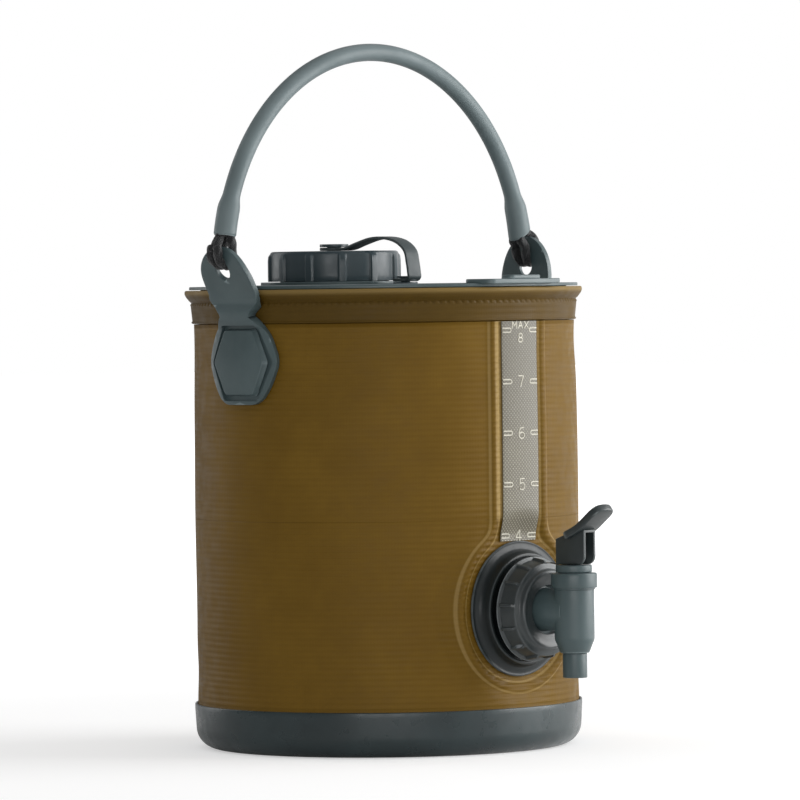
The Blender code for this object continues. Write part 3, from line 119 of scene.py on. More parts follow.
# Steps round turned pieces, and the smallest lengths told apart
ROUND_STEPS = 128
SMALL_STEPS = 64
FINE_STEPS = 192
RING_STEPS = 96
PIN_STEPS = 24
CORNER_STEPS = 4
ARC_STEPS = 8
BOWL_STEPS = 14
CURVE_STEPS = 8
CORNER_SHARE = 0.45
SOFT_CORNER = 0.0004
TINY = 0.000001
SKIN_GAP = 0.0002
FINE_GAP = 0.0003
# Least angle in degrees of an edge that stays sharp
SHARP = 35
FORM_SHARP = 40
TUBE_SHARP = 50
SHEET_SHARP = 60

# Frames for what is turned about the tap's axes, the filler's axis, and for side profiles
TAP_FRAME = Matrix.Translation((0, 0, TAP_CENTRE)) @ Matrix.Rotation(math.pi / 2, 4, "X")
BARREL_FRAME = Matrix.Translation((0, BARREL_CENTRE, 0))
FILLER_FRAME = Matrix.Translation((0, CAP_CENTRE, 0))
ANCHOR_FRAME = Matrix.Translation((0, (ANCHOR_LOW.y + ANCHOR_HIGH.y) / 2, 0))


def ease(share):
    """Smooth step of a share held between 0 and 1."""
    share = min(max(share, 0), 1)
    return share * share * (3 - 2 * share)


def blend(start, end, share):
    return start + (end - start) * share


def even_steps(start, end, count):
    return [blend(start, end, step / count) for step in range(count + 1)]


def arc(centre_x, centre_y, radius, start, end, steps):
    """Points of a round stretch from one angle to another in degrees."""
    points = []
    for angle in even_steps(math.radians(start), math.radians(end), steps):
        points.append((centre_x + radius * math.cos(angle), centre_y + radius * math.sin(angle)))
    return points


def rounded(points, reach, closed=True):
    """A profile with its corners rounded. A point may carry its own reach as a third value."""
    result = []
    count = len(points)
    for index, point in enumerate(points):
        here = Vector(point[:2])
        own = point[2] if len(point) > 2 else reach
        at_end = not closed and index in (0, count - 1)
        if at_end or own < TINY:
            result.append(tuple(here))
            continue
        before = Vector(points[index - 1][:2]) - here
        after = Vector(points[(index + 1) % count][:2]) - here
        span = min(own, before.length * CORNER_SHARE, after.length * CORNER_SHARE)
        start = before.normalized() * span
        end = after.normalized() * span
        for share in even_steps(0, 1, CORNER_STEPS):
            result.append(tuple(here + start * (1 - share) ** 2 + end * share ** 2))
    return result


def corners_of(inner, outer, top, bottom):
    """The corners of a straight section, from its inner top round by its outer side."""
    return [(inner, top), (outer, top), (outer, bottom), (inner, bottom)]


def outward(point):
    """The level direction from local Z to a point."""
    return Vector((point.x, point.y, 0)).normalized()


def from_rib(point, ribs, first):
    """How far round local Z a point lies from the nearest of some even ribs."""
    turn = math.atan2(point.y, point.x) - math.radians(first)
    pitch = math.tau / ribs
    return abs((turn + pitch / 2) % pitch - pitch / 2) * point.xy.length


def smooth_path(knots, steps):
    """A Catmull-Rom curve through the knots, with some steps between each two."""
    ends = [knots[0]] + list(knots) + [knots[-1]]
    points = []
    for before, start, end, after in zip(ends, ends[1:], ends[2:], ends[3:]):
        for share in even_steps(0, 1, steps)[:-1]:
            point = []
            for a, b, c, d in zip(before, start, end, after):
                bend = 2 * a - 5 * b + 4 * c - d
                twist = 3 * b - a - 3 * c + d
                point.append((2 * b + (c - a) * share + bend * share ** 2
                              + twist * share ** 3) / 2)
            points.append(tuple(point))
    points.append(tuple(knots[-1]))
    return points


def smooth(mesh, sharp=SHARP):
    """Shade a mesh smoothly, sharp only at edges steeper than an angle in degrees."""
    mesh.shade_smooth()
    mesh.set_sharp_from_angle(angle=math.radians(sharp))
    return mesh


def to_mesh(name, builder, sharp=SHARP):
    mesh = bpy.data.meshes.new(name)
    builder.to_mesh(mesh)
    builder.free()
    return smooth(mesh, sharp)


def running_lengths(points):
    lengths = [0]
    for start, end in zip(points, points[1:]):
        lengths.append(lengths[-1] + (Vector(end) - Vector(start)).length)
    return lengths


def grid_mesh(name, rows, wraps=True, ends=(), sharp=SHARP, metres=None, start=0):
    """A mesh over rows of points. Rows of one point are tips, and ends lists the rows that
    are capped by a face. The faces look outward where the rows run down an outer side and
    their points run anticlockwise seen from above. UVs are metres round and along, and
    metres sets the whole way round."""
    builder = bmesh.new()
    layer = builder.loops.layers.uv.new("metres")
    grid = [[builder.verts.new(point) for point in row] for row in rows]
    width = max(len(row) for row in rows)
    rounds = [running_lengths(row + row[:1] if wraps else row) for row in rows
              if len(row) == width]
    across = max(rounds, key=lambda lengths: lengths[-1])
    scale = metres / across[-1] if metres else 1
    along = running_lengths([row[0] for row in rows])
    for index in range(len(rows) - 1):
        upper = grid[index]
        lower = grid[index + 1]
        for step in range(width if wraps else width - 1):
            after = step + 1
            corners = []
            for row, place, level in ((upper, step, 0), (lower, step, 1),
                                      (lower, after, 1), (upper, after, 0)):
                corner = row[place % len(row)]
                if corner not in [known for known, _ in corners]:
                    reached = start + along[index + level]
                    corners.append((corner, (across[place] * scale, -reached)))
            if len(corners) > 2:
                face = builder.faces.new([corner for corner, _ in corners])
                for loop, (_, place) in zip(face.loops, corners):
                    loop[layer].uv = place
    for end in ends:
        ring = grid[end] if end == 0 else grid[end][::-1]
        builder.faces.new(ring)
    return to_mesh(name, builder, sharp)


def turned(name, profile, steps=ROUND_STEPS, matrix=None, warp=None, sharp=SHARP):
    """A mesh turned about local Z from (radius, height) points down its outer side. It
    closes on itself unless both ends lie on the axis. A warp moves each point."""
    closed = profile[0][0] > TINY or profile[-1][0] > TINY
    if closed:
        profile = profile + [profile[0]]
    rows = []
    for radius, height in profile:
        row = []
        for step in range(steps if radius > TINY else 1):
            angle = math.tau * step / steps
            point = Vector((radius * math.cos(angle), radius * math.sin(angle), height))
            row.append(warp(point) if warp else point)
        rows.append(row)
    mesh = grid_mesh(name, rows, sharp=sharp)
    if closed:
        weld(mesh)
    if matrix:
        mesh.transform(matrix)
    return mesh


def weld(mesh):
    builder = bmesh.new()
    builder.from_mesh(mesh)
    bmesh.ops.remove_doubles(builder, verts=builder.verts, dist=TINY)
    builder.to_mesh(mesh)
    builder.free()


def swept(name, path, radius_at, sides, lobes=0, lobe_depth=0, twist=0, ends=True):
    """A round rod along a path. The radius is a function of the share of the way along it.
    Lobes that twist along it make a laid rope."""
    path = [Vector(point) for point in path]
    lengths = running_lengths(path)
    side = None
    rows = []
    for index, point in enumerate(path):
        before = path[max(index - 1, 0)]
        after = path[min(index + 1, len(path) - 1)]
        along = (after - before).normalized()
        if side is None:
            side = along.orthogonal().normalized()
        side = (side - along * side.dot(along)).normalized()
        other = side.cross(along)
        radius = radius_at(lengths[index] / lengths[-1])
        row = []
        for step in range(sides):
            angle = math.tau * step / sides
            swell = 1
            if lobes:
                swell -= lobe_depth * abs(math.sin(lobes * angle / 2 + twist * lengths[index]))
            offset = side * math.cos(angle) + other * math.sin(angle)
            row.append(point + offset * radius * swell)
        rows.append(row)
    capped = (0, len(rows) - 1) if ends else ()
    return grid_mesh(name, rows, ends=capped, sharp=TUBE_SHARP)


def plate(name, outline, low, high, bevel=0, matrix=None):
    """A flat outline in local XY between two heights, with its rims rounded off."""
    builder = bmesh.new()
    corners = [builder.verts.new((x, y, low)) for x, y in outline]
    face = builder.faces.new(corners)
    shift = bmesh.ops.extrude_face_region(builder, geom=[face])["geom"]
    top = [item for item in shift if isinstance(item, bmesh.types.BMVert)]
    bmesh.ops.translate(builder, vec=(0, 0, high - low), verts=top)
    bmesh.ops.recalc_face_normals(builder, faces=builder.faces)
    if bevel:
        rims = [edge for edge in builder.edges
                if abs(edge.verts[0].co.z - edge.verts[1].co.z) < TINY]
        bmesh.ops.bevel(builder, geom=rims, offset=bevel, segments=3, profile=0.5,
                        affect="EDGES", clamp_overlap=True)
    mesh = to_mesh(name, builder, FORM_SHARP)
    if matrix:
        mesh.transform(matrix)
    return mesh


def sliced(mesh, cuts):
    """A builder of a mesh whose faces are cut at planes, each a place and a normal."""
    builder = bmesh.new()
    builder.from_mesh(mesh)
    for place, normal in cuts:
        geometry = builder.verts[:] + builder.edges[:] + builder.faces[:]
        bmesh.ops.bisect_plane(builder, geom=geometry, plane_co=place, plane_no=normal)
    return builder


def joined(name, meshes):
    """One mesh that holds several, each a body of its own."""
    builder = bmesh.new()
    for mesh in meshes:
        builder.from_mesh(mesh)
    return to_mesh(name, builder)


def placed(name, data):
    """A new object in the scene that carries a mesh, a lamp or a camera."""
    thing = bpy.data.objects.new(name, data)
    bpy.context.scene.collection.objects.link(thing)
    return thing


def combined(mesh, operands, operation):
    """A mesh after a union with others, or a cut by them."""
    piece = placed("blank", mesh)
    others = []
    for operand in operands:
        other = placed("operand", operand)
        others.append(other)
        modifier = piece.modifiers.new("shape", "BOOLEAN")
        modifier.object = other
        modifier.operation = operation
        modifier.solver = "EXACT"
    bpy.context.view_layer.update()
    depsgraph = bpy.context.evaluated_depsgraph_get()
    result = bpy.data.meshes.new_from_object(piece.evaluated_get(depsgraph))
    for item in others + [piece]:
        bpy.data.objects.remove(item, do_unlink=True)
    result.materials.clear()
    result.name = mesh.name
    return result


def dress(name, mesh, finish, body=None, stands_for=()):
    """Link a mesh as a named piece, parent it to the body it rides on, and hide the nodes it
    stands for.
    """
    mesh.materials.clear()
    mesh.materials.append(finish)
    piece = placed(name, mesh)
    if body:
        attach(piece, body)
    if stands_for:
        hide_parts(*stands_for)
    return piece


def tone(red, green, blue):
    """Linear colour of an sRGB colour given in 0 to 255."""
    shares = []
    for value in (red / 255, green / 255, blue / 255):
        shares.append(value / 12.92 if value <= 0.04045 else ((value + 0.055) / 1.055) ** 2.4)
    return (*shares, 1)


class Tree:
    """Short calls that add nodes to the tree of a material or a world. What feeds a node
    is a value or another node's output."""

    def __init__(self, owner):
        owner.use_nodes = True
        self.nodes = owner.node_tree.nodes
        self.links = owner.node_tree.links

    def feed(self, socket, value):
        if isinstance(value, bpy.types.NodeSocket):
            self.links.new(value, socket)
        else:
            socket.default_value = value

    def feed_all(self, node, values):
        for socket, value in zip(node.inputs, values):
            self.feed(socket, value)
        return node.outputs

    def sums(self, operation, *values):
        node = self.nodes.new("ShaderNodeMath")
        node.operation = operation
        return self.feed_all(node, values)[0]

    def vectors(self, operation, *values):
        node = self.nodes.new("ShaderNodeVectorMath")
        node.operation = operation
        return self.feed_all(node, values)

    def ramp(self, value, low, high, start=0, end=1):
        """A value's range mapped smoothly onto another."""
        node = self.nodes.new("ShaderNodeMapRange")
        node.interpolation_type = "SMOOTHSTEP"
        return self.feed_all(node, (value, low, high, start, end))[0]


class Finish(Tree):
    """A material whose colour, roughness and bump are built up from short calls."""

    def __init__(self, name, shine):
        self.material = bpy.data.materials.new(name)
        super().__init__(self.material)
        self.shader = self.nodes["Principled BSDF"]
        for socket, value in shine.items():
            self.shader.inputs[socket].default_value = value
        coordinates = self.nodes.new("ShaderNodeTexCoord")
        self.place = coordinates.outputs["Object"]
        self.metres = coordinates.outputs["UV"]
        self.normal = None

    def stretch(self, place, *shares):
        node = self.nodes.new("ShaderNodeMapping")
        self.feed(node.inputs["Vector"], place)
        node.inputs["Scale"].default_value = shares
        return node.outputs[0]

    def split(self, place):
        node = self.nodes.new("ShaderNodeSeparateXYZ")
        self.feed(node.inputs[0], place)
        return node.outputs

    def noise(self, size, detail=3, place=None):
        """Soft noise whose lumps are about a size in metres across."""
        node = self.nodes.new("ShaderNodeTexNoise")
        self.feed(node.inputs["Vector"], place or self.place)
        node.inputs["Scale"].default_value = 1 / size
        node.inputs["Detail"].default_value = detail
        return node.outputs["Fac"]

    def edges(self):
        return self.nodes.new("ShaderNodeNewGeometry").outputs["Pointiness"]

    def mix(self, share, start, end):
        node = self.nodes.new("ShaderNodeMix")
        node.data_type = "RGBA"
        self.feed(node.inputs["Factor"], share)
        self.feed(node.inputs[6], start)
        self.feed(node.inputs[7], end)
        return node.outputs[2]

    def bump(self, height, depth):
        """Add a relief whose full height is a depth in metres."""
        node = self.nodes.new("ShaderNodeBump")
        self.feed(node.inputs["Height"], height)
        node.inputs["Distance"].default_value = depth
        if self.normal:
            self.links.new(self.normal, node.inputs["Normal"])
        self.normal = node.outputs[0]

    def done(self, colour, roughness):
        self.feed(self.shader.inputs["Base Color"], colour)
        self.feed(self.shader.inputs["Roughness"], roughness)
        if self.normal:
            self.links.new(self.normal, self.shader.inputs["Normal"])
        return self.material


# Sizes of the finishes, in metres
WEAVE_PITCH = 0.00172
WEAVE_DEPTH = 0.00022
RIB_PITCH = 0.00326
MESH_PITCH = 0.0016
MESH_DEPTH = 0.00006
MESH_TURN = 45
GRAIN_SIZE = 0.0006
GRAIN_DEPTH = 0.00003
CLOUD_SIZE = 0.035
SCUFF_SIZE = 0.008
BRAID_PITCH = 0.0011
BRAID_DEPTH = 0.0003
BRAID_TURN = 38
# Heights over which the top of the lip takes a painted highlight
LIP_HIGHLIGHT_LOW = RIM_HEIGHT - 0.0040
LIP_HIGHLIGHT_HIGH = RIM_HEIGHT - 0.0010
# How rough a finish is at its smoothest and roughest, and how much it shines
FABRIC_ROUGH = (0.44, 0.58)
FABRIC_SHINE = 0.12
FILM_ROUGH = (0.28, 0.42)
FILM_SHINE = 0.2
FILM_COAT = 0.2
COAT_ROUGHNESS = 0.25
CORD_ROUGH = (0.75, 0.55)
CORD_SHEEN = 0.25
SHEEN_ROUGHNESS = 0.4
STEEL_ROUGH = (0.22, 0.4)
STREAK_STRETCH = 0.08
ROUGH_SPREAD = 0.06
# Ranges of noise, threads and edges that a finish reads, and the shares it takes of them
NOISE_RANGE = (0.3, 0.7)
SCUFF_RANGE = (0.3, 0.6)
# Pointiness over which creases take painted shade, and how dark that painted shade is
CREASE_SHADE_EDGES = (0.40, 0.47)
CREASE_SHADE_SHARE = 0.3
# Pointiness over which edges pale, partly real wear and partly a painted highlight, and the shares
# they take
WEAR_HIGHLIGHT_EDGES = (0.52, 0.62)
WEAR_HIGHLIGHT_SHARES = (0.35, 0.85)
CLOUD_TINT = 0.5
SCUFF_TINT = 0.25
UPRIGHT_TINT = 0.03
LEVEL_TINT = 0.04
UPRIGHT_RELIEF = 0.1
FABRIC_RANGE = (0.2, 0.95)
LUMP_TINT = 0.6
FILM_RANGE = (0.15, 0.85)
FILM_SHADE = 0.6
BRAID_RANGE = (0.2, 1)
# The raised band that runs round the gauge window and the tap
BAND_OFFSET = GAUGE_HIGH.x + 0.0052
BAND_RING = FLANGE_RADIUS + 0.0062
BAND_REACH = 0.0042
BAND_EDGE = 0.0036
BAND_RISE = 0.0017
BAND_FILLET = 0.0100
BAND_SHOULDER = 0.0030
# Width and strength of the painted highlight lines along the band's shoulders
SHOULDER_HIGHLIGHT_WIDTH = 0.0009
SHOULDER_HIGHLIGHT_SHARE = 0.42
# Width and strength of the painted highlight on the band's strip left of the window
MARGIN_HIGHLIGHT_STEP = 0.0008
MARGIN_HIGHLIGHT_SHARE = 0.55


def threads(finish, pitch, turn=0):
    """Two crossing sets of raised threads over UVs in metres, from 0 to 1."""
    node = finish.nodes.new("ShaderNodeVectorRotate")
    node.rotation_type = "Z_AXIS"
    node.inputs["Angle"].default_value = math.radians(turn)
    finish.feed(node.inputs["Vector"], finish.metres)
    waves = []
    for place in finish.split(node.outputs[0])[:2]:
        wave = finish.sums("SINE", finish.sums("MULTIPLY", place, math.tau / pitch))
        waves.append(finish.ramp(wave, -1, 1))
    return waves


def band_place(finish):
    """Distance outward from the middle of the band round the gauge window and the tap, how far it
    is on the front, and the share of painted highlight on its strip left of the window.
    """
    across, facing, up = finish.split(finish.place)
    rise = finish.sums("SUBTRACT", up, TAP_CENTRE)
    squares = [finish.sums("POWER", value, 2) for value in (across, rise)]
    reach = finish.sums("SQRT", finish.sums("ADD", *squares))
    ring = finish.sums("SUBTRACT", reach, BAND_RING)
    aside = finish.sums("ABSOLUTE", across)
    strip = finish.sums("SUBTRACT", aside, BAND_OFFSET)
    strip = finish.sums("MAXIMUM", strip, finish.sums("MULTIPLY", rise, -1))
    place = finish.sums("SMOOTH_MIN", ring, strip, BAND_FILLET)
    front = finish.ramp(facing, 0, -BAND_FILLET)
    above = finish.ramp(rise, BAND_RING + BAND_REACH, BAND_RING + 2 * BAND_REACH)
    # Painted highlight on the band's strip left of the window only, where its slope catches the
    # light
    margin_highlight = finish.ramp(across, -BAND_OFFSET - MARGIN_HIGHLIGHT_STEP, MARGIN_HIGHLIGHT_STEP - BAND_OFFSET)
    margin_highlight = finish.sums("MULTIPLY", margin_highlight, finish.ramp(across, 0, -MARGIN_HIGHLIGHT_STEP))
    margin_highlight = finish.sums("MULTIPLY", margin_highlight, finish.sums("MULTIPLY", front, above))
    return place, front, margin_highlight


def woven_fabric(name, deep, plain, weave_depth, crest=None, band_highlight=None):
    """Coated woven fabric. A crest colour is a painted highlight along the top of the lip, and a
    band highlight colour is painted highlight along the shoulders of the band round the gauge
    window and the tap, and on its strip left of the window."""
    finish = Finish(name, {"Specular IOR Level": FABRIC_SHINE})
    upright = threads(finish, WEAVE_PITCH)[0]
    level = threads(finish, RIB_PITCH)[1]
    scuffs = finish.noise(SCUFF_SIZE, 5)
    tint = finish.sums("MULTIPLY", finish.noise(CLOUD_SIZE, 4), CLOUD_TINT)
    for value, share in ((scuffs, SCUFF_TINT), (level, LEVEL_TINT), (upright, UPRIGHT_TINT)):
        tint = finish.sums("ADD", tint, finish.sums("MULTIPLY", value, share))
    colour = finish.mix(finish.ramp(tint, *FABRIC_RANGE), deep, plain)
    # Painted highlight: the top of the lip paled towards the crest colour
    if crest:
        height = finish.split(finish.place)[2]
        colour = finish.mix(finish.ramp(height, LIP_HIGHLIGHT_LOW, LIP_HIGHLIGHT_HIGH), colour, crest)
    if band_highlight:
        place, front, margin_highlight = band_place(finish)
        # Painted highlight: pale lines along the band's shoulders, on its front
        from_line = finish.sums("ABSOLUTE", finish.sums(
            "SUBTRACT", finish.sums("ABSOLUTE", place), BAND_SHOULDER))
        line = finish.ramp(from_line, SHOULDER_HIGHLIGHT_WIDTH, SHOULDER_HIGHLIGHT_WIDTH / 3)
        line = finish.sums("MULTIPLY", line, finish.sums("MULTIPLY", front, SHOULDER_HIGHLIGHT_SHARE))
        colour = finish.mix(line, colour, band_highlight)
        # Painted highlight on the band's strip left of the window
        colour = finish.mix(finish.sums("MULTIPLY", margin_highlight, MARGIN_HIGHLIGHT_SHARE), colour, band_highlight)
    relief = finish.sums("ADD", level, finish.sums("MULTIPLY", upright, UPRIGHT_RELIEF))
    finish.bump(relief, weave_depth)
    finish.bump(finish.noise(GRAIN_SIZE, 2), GRAIN_DEPTH)
    return finish.done(colour, finish.ramp(scuffs, *NOISE_RANGE, *FABRIC_ROUGH))


def window_film():
    """Clear film over a fine diagonal mesh, with painted shade that darkens it towards its top."""
    finish = Finish("gauge_film", {"Coat Weight": FILM_COAT, "Coat Roughness": COAT_ROUGHNESS,
                                   "Specular IOR Level": FILM_SHINE})
    lumps = finish.sums("MULTIPLY", *threads(finish, MESH_PITCH, MESH_TURN))
    cloud = finish.noise(CLOUD_SIZE, 4)
    tint = finish.sums("ADD", finish.sums("MULTIPLY", lumps, LUMP_TINT),
                       finish.sums("MULTIPLY", cloud, CLOUD_TINT))
    colour = finish.mix(finish.ramp(tint, *FILM_RANGE), tone(92, 87, 74), tone(140, 135, 118))
    height = finish.split(finish.place)[2]
    # Painted shade: the film darkens towards its top
    shade = finish.ramp(height, TAP_CENTRE + FLANGE_RADIUS, RIM_HEIGHT, 0, FILM_SHADE)
    colour = finish.mix(shade, colour, tone(84, 80, 68))
    finish.bump(lumps, MESH_DEPTH)
    return finish.done(colour, finish.ramp(cloud, *NOISE_RANGE, *FILM_ROUGH))


def moulded(name, deep, plain, edge, rough, grain=GRAIN_DEPTH, shine=0.5):
    """Moulded plastic: fine spark grain, soft clouding, edges paled partly by wear and partly by a
    painted highlight, and painted shade darkening the creases."""
    finish = Finish(name, {"Specular IOR Level": shine})
    cloud = finish.noise(CLOUD_SIZE, 4)
    scuffs = finish.noise(SCUFF_SIZE, 6)
    colour = finish.mix(finish.ramp(cloud, *NOISE_RANGE), deep, plain)
    edges = finish.edges()
    # Painted shade: creases darkened towards a dark copy of the base colour
    crease_shade = [share * CREASE_SHADE_SHARE for share in deep[:3]] + [1]
    colour = finish.mix(finish.ramp(edges, *CREASE_SHADE_EDGES), crease_shade, colour)
    # Edges paled towards the edge tone: partly wear, partly a painted highlight
    wear_and_highlight = finish.sums("MULTIPLY", finish.ramp(edges, *WEAR_HIGHLIGHT_EDGES),
                       finish.ramp(scuffs, *SCUFF_RANGE, *WEAR_HIGHLIGHT_SHARES))
    colour = finish.mix(wear_and_highlight, colour, edge)
    finish.bump(finish.noise(GRAIN_SIZE, 2), grain)
    return finish.done(colour, finish.ramp(scuffs, *NOISE_RANGE, rough - ROUGH_SPREAD,
                                           rough + ROUGH_SPREAD))


def braided(name, deep, plain):
    """Braided cord: slanting strands that cross, over UVs in metres."""
    finish = Finish(name, {"Sheen Weight": CORD_SHEEN, "Sheen Roughness": SHEEN_ROUGHNESS})
    height = finish.sums("MAXIMUM", *threads(finish, BRAID_PITCH, BRAID_TURN))
    colour = finish.mix(finish.ramp(height, *BRAID_RANGE), deep, plain)
    finish.bump(height, BRAID_DEPTH)
    finish.bump(finish.noise(GRAIN_SIZE / 2, 3), GRAIN_DEPTH)
    return finish.done(colour, finish.ramp(height, *BRAID_RANGE, *CORD_ROUGH))


def brushed_steel():
    finish = Finish("steel", {"Metallic": 1})
    streaks = finish.noise(GRAIN_SIZE, 4, finish.stretch(finish.place, 1, 1, STREAK_STRETCH))
    colour = finish.mix(finish.noise(SCUFF_SIZE, 4), tone(176, 180, 184), tone(206, 209, 212))
    finish.bump(streaks, GRAIN_DEPTH / 2)
    return finish.done(colour, finish.ramp(streaks, *NOISE_RANGE, *STEEL_ROUGH))


# The wall's fabric, with painted highlights along the band's shoulders and on its strip left of
# the window
FABRIC = woven_fabric("fabric_wall", tone(101, 75, 21), tone(124, 95, 31), WEAVE_DEPTH,
                      band_highlight=tone(168, 143, 92))
# The hem's fabric is the wall's fabric with painted shade: darker tones for the shade under the
# lip, and a painted highlight on the lip's top
SHADED_HEM_FABRIC = woven_fabric("hem_fabric", tone(76, 57, 17), tone(94, 72, 24), WEAVE_DEPTH / 2,
                          tone(124, 102, 58))
FILM = window_film()
# The third tone of each moulded finish is its pale edge, partly real wear and partly a painted
# highlight
GREY = moulded("grey_plastic", tone(64, 79, 81), tone(76, 91, 93), tone(134, 148, 150), 0.38)
TUB_GREY = moulded("tub_plastic", tone(35, 46, 48), tone(44, 57, 59), tone(66, 81, 83), 0.32)
CAP_GREY = moulded("cap_plastic", tone(48, 61, 66), tone(59, 73, 78), tone(148, 161, 166), 0.34)
DARK = moulded("dark_plastic", tone(40, 47, 48), tone(52, 60, 61), tone(112, 120, 120), 0.36)
FLANGE_DARK = moulded("flange_plastic", tone(25, 30, 31), tone(33, 39, 40), tone(120, 129, 131),
                      0.34, shine=0.3)
NUT_GREY = moulded("nut_plastic", tone(50, 55, 56), tone(61, 67, 68), tone(150, 156, 160), 0.34)
SLEEVE = moulded("handle_sleeve", tone(97, 109, 111), tone(108, 120, 122),
                 tone(140, 150, 152), 0.46, GRAIN_DEPTH / 2, 0.3)
RUBBER = moulded("soft_rubber", tone(52, 62, 64), tone(62, 72, 74), tone(80, 90, 92), 0.55)
CORD = braided("black_cord", tone(7, 8, 9), tone(26, 28, 30))
STEEL = brushed_steel()
MARKS = moulded("gauge_marks", tone(186, 182, 167), tone(200, 196, 181), tone(212, 208, 194), 0.5)


# Fabric walls. The wall bears a soft raised band round the gauge window and the tap
FRONT_REACH = math.radians(32)
FRONT_COLUMNS = 128
BACK_COLUMNS = 148
FINE_ROW = 0.0009
COARSE_ROW = 0.003
FABRIC_SKIN = 0.001
TAIL_RADIUS = 0.0145
SCREW_RADIUS = 0.0023
# Where a cutter for a hole through the wall starts and ends
HOLE_START = WALL_RADIUS - 0.0176
HOLE_END = WALL_RADIUS + 0.0124
TAP_SET_IN = 0.0036
TAP_PLANE = WALL_RADIUS - TAP_SET_IN
FLAT_RADIUS = FLANGE_RADIUS + 0.0035
BLEND_RADIUS = FLAT_RADIUS + 0.0140
WAIST_HEIGHT = TUB_HEIGHT + 0.0175
WAIST_REACH = 0.0120
WAIST_DEPTH = 0.0006
RIPPLE_SIZE = 0.0550
RIPPLE_DEPTH = 0.0005
CALM_REACH = 22
# Soft dents: azimuth from the tap in degrees, height, depth, reach in degrees and in height
DENTS = (
    (46, RIM_HEIGHT - 0.0300, 0.0008, 20, 0.0140),
    (52, TUB_HEIGHT + 0.1250, -0.0013, 26, 0.0750),
    (128, RIM_HEIGHT - 0.0300, 0.0010, 24, 0.0180),
    (205, RIM_HEIGHT - 0.0340, 0.0012, 22, 0.0200),
    (318, RIM_HEIGHT - 0.0900, 0.0007, 20, 0.0300),
    (160, TUB_HEIGHT + 0.0500, 0.0008, 28, 0.0260),
)
WALL_TURN = round(math.tau * WALL_RADIUS / WEAVE_PITCH) * WEAVE_PITCH


def wall_angles():
    """Azimuths round the wall from the tap, closest together across its front."""
    front = even_steps(-FRONT_REACH, FRONT_REACH, FRONT_COLUMNS)
    return front + even_steps(FRONT_REACH, math.tau - FRONT_REACH, BACK_COLUMNS)[1:-1]


def band_rise(x, height):
    """How far the raised band stands out of the wall. It follows a strip joined to a ring."""
    ring = math.hypot(x, height - TAP_CENTRE) - BAND_RING
    strip = abs(x) - BAND_OFFSET if height > TAP_CENTRE else BAND_RING
    share = min(max(0.5 + (ring - strip) / BAND_FILLET / 2, 0), 1)
    gap = abs(blend(ring, strip, share) - BAND_FILLET * share * (1 - share))
    return BAND_RISE * ease((BAND_REACH - gap) / BAND_EDGE)


def wall_radius(angle, height):
    """Radius of the fabric with its waist over the tub, its ripples and its dents, which
    fade towards the arms, so that these pass it as the bag collapses."""
    waist = WAIST_DEPTH * math.exp(-((height - WAIST_HEIGHT) / WAIST_REACH) ** 2)
    place = Vector((math.sin(angle), math.cos(angle), 0)) * WALL_RADIUS
    place.z = height
    uneven = RIPPLE_DEPTH * noise.noise(place / RIPPLE_SIZE)
    for azimuth, level, depth, reach, rise in DENTS:
        away = (math.degrees(angle) - azimuth + 180) % 360 - 180
        uneven -= depth * math.exp(-(away / reach) ** 2 - ((height - level) / rise) ** 2)
    from_arm = math.degrees(angle) % 180 - 90
    return WALL_RADIUS - waist + uneven * (1 - math.exp(-(from_arm / CALM_REACH) ** 2))


def wall_point(angle, height, out=0, band=True):
    """A point of the wall's outer face at an azimuth from the tap, moved out by a length."""
    radius = wall_radius(angle, height)
    x = radius * math.sin(angle)
    y = -radius * math.cos(angle)
    facing = y < 0
    reach = math.hypot(x, height - TAP_CENTRE)
    if facing and reach < BLEND_RADIUS:
        y += (-TAP_PLANE - y) * ease((BLEND_RADIUS - reach) / (BLEND_RADIUS - FLAT_RADIUS))
    if facing and band:
        out += band_rise(x, height)
    away = Vector((x, y, 0)).normalized() * out
    return Vector((x, y, height)) + away


def wall_run(heights):
    """Length of the wall down its first column."""
    return running_lengths([wall_point(wall_angles()[0], height) for height in heights])[-1]


def wall_shell(name, heights, start):
    """A closed shell of fabric between the first and the last of its heights, from the top."""
    angles = wall_angles()
    rows = [[wall_point(angle, height) for angle in angles] for height in heights]
    for height in heights[::-1]:
        rows.append([wall_point(angle, height, -FABRIC_SKIN) for angle in angles])
    rows.append(rows[0])
    mesh = grid_mesh(name, rows, metres=WALL_TURN, start=start)
    weld(mesh)
    return mesh


def rod(name, radius, low, high, matrix, steps=SMALL_STEPS):
    return turned(name, corners_of(0, radius, high, low), steps, matrix)


def side_frame(side, height):
    """Frame whose local Z points out of the bag at a height on its left or right."""
    turn = Matrix.Rotation(math.radians(90) * side, 4, "Z")
    return Matrix.Translation((0, 0, height)) @ turn @ Matrix.Rotation(math.pi / 2, 4, "X")


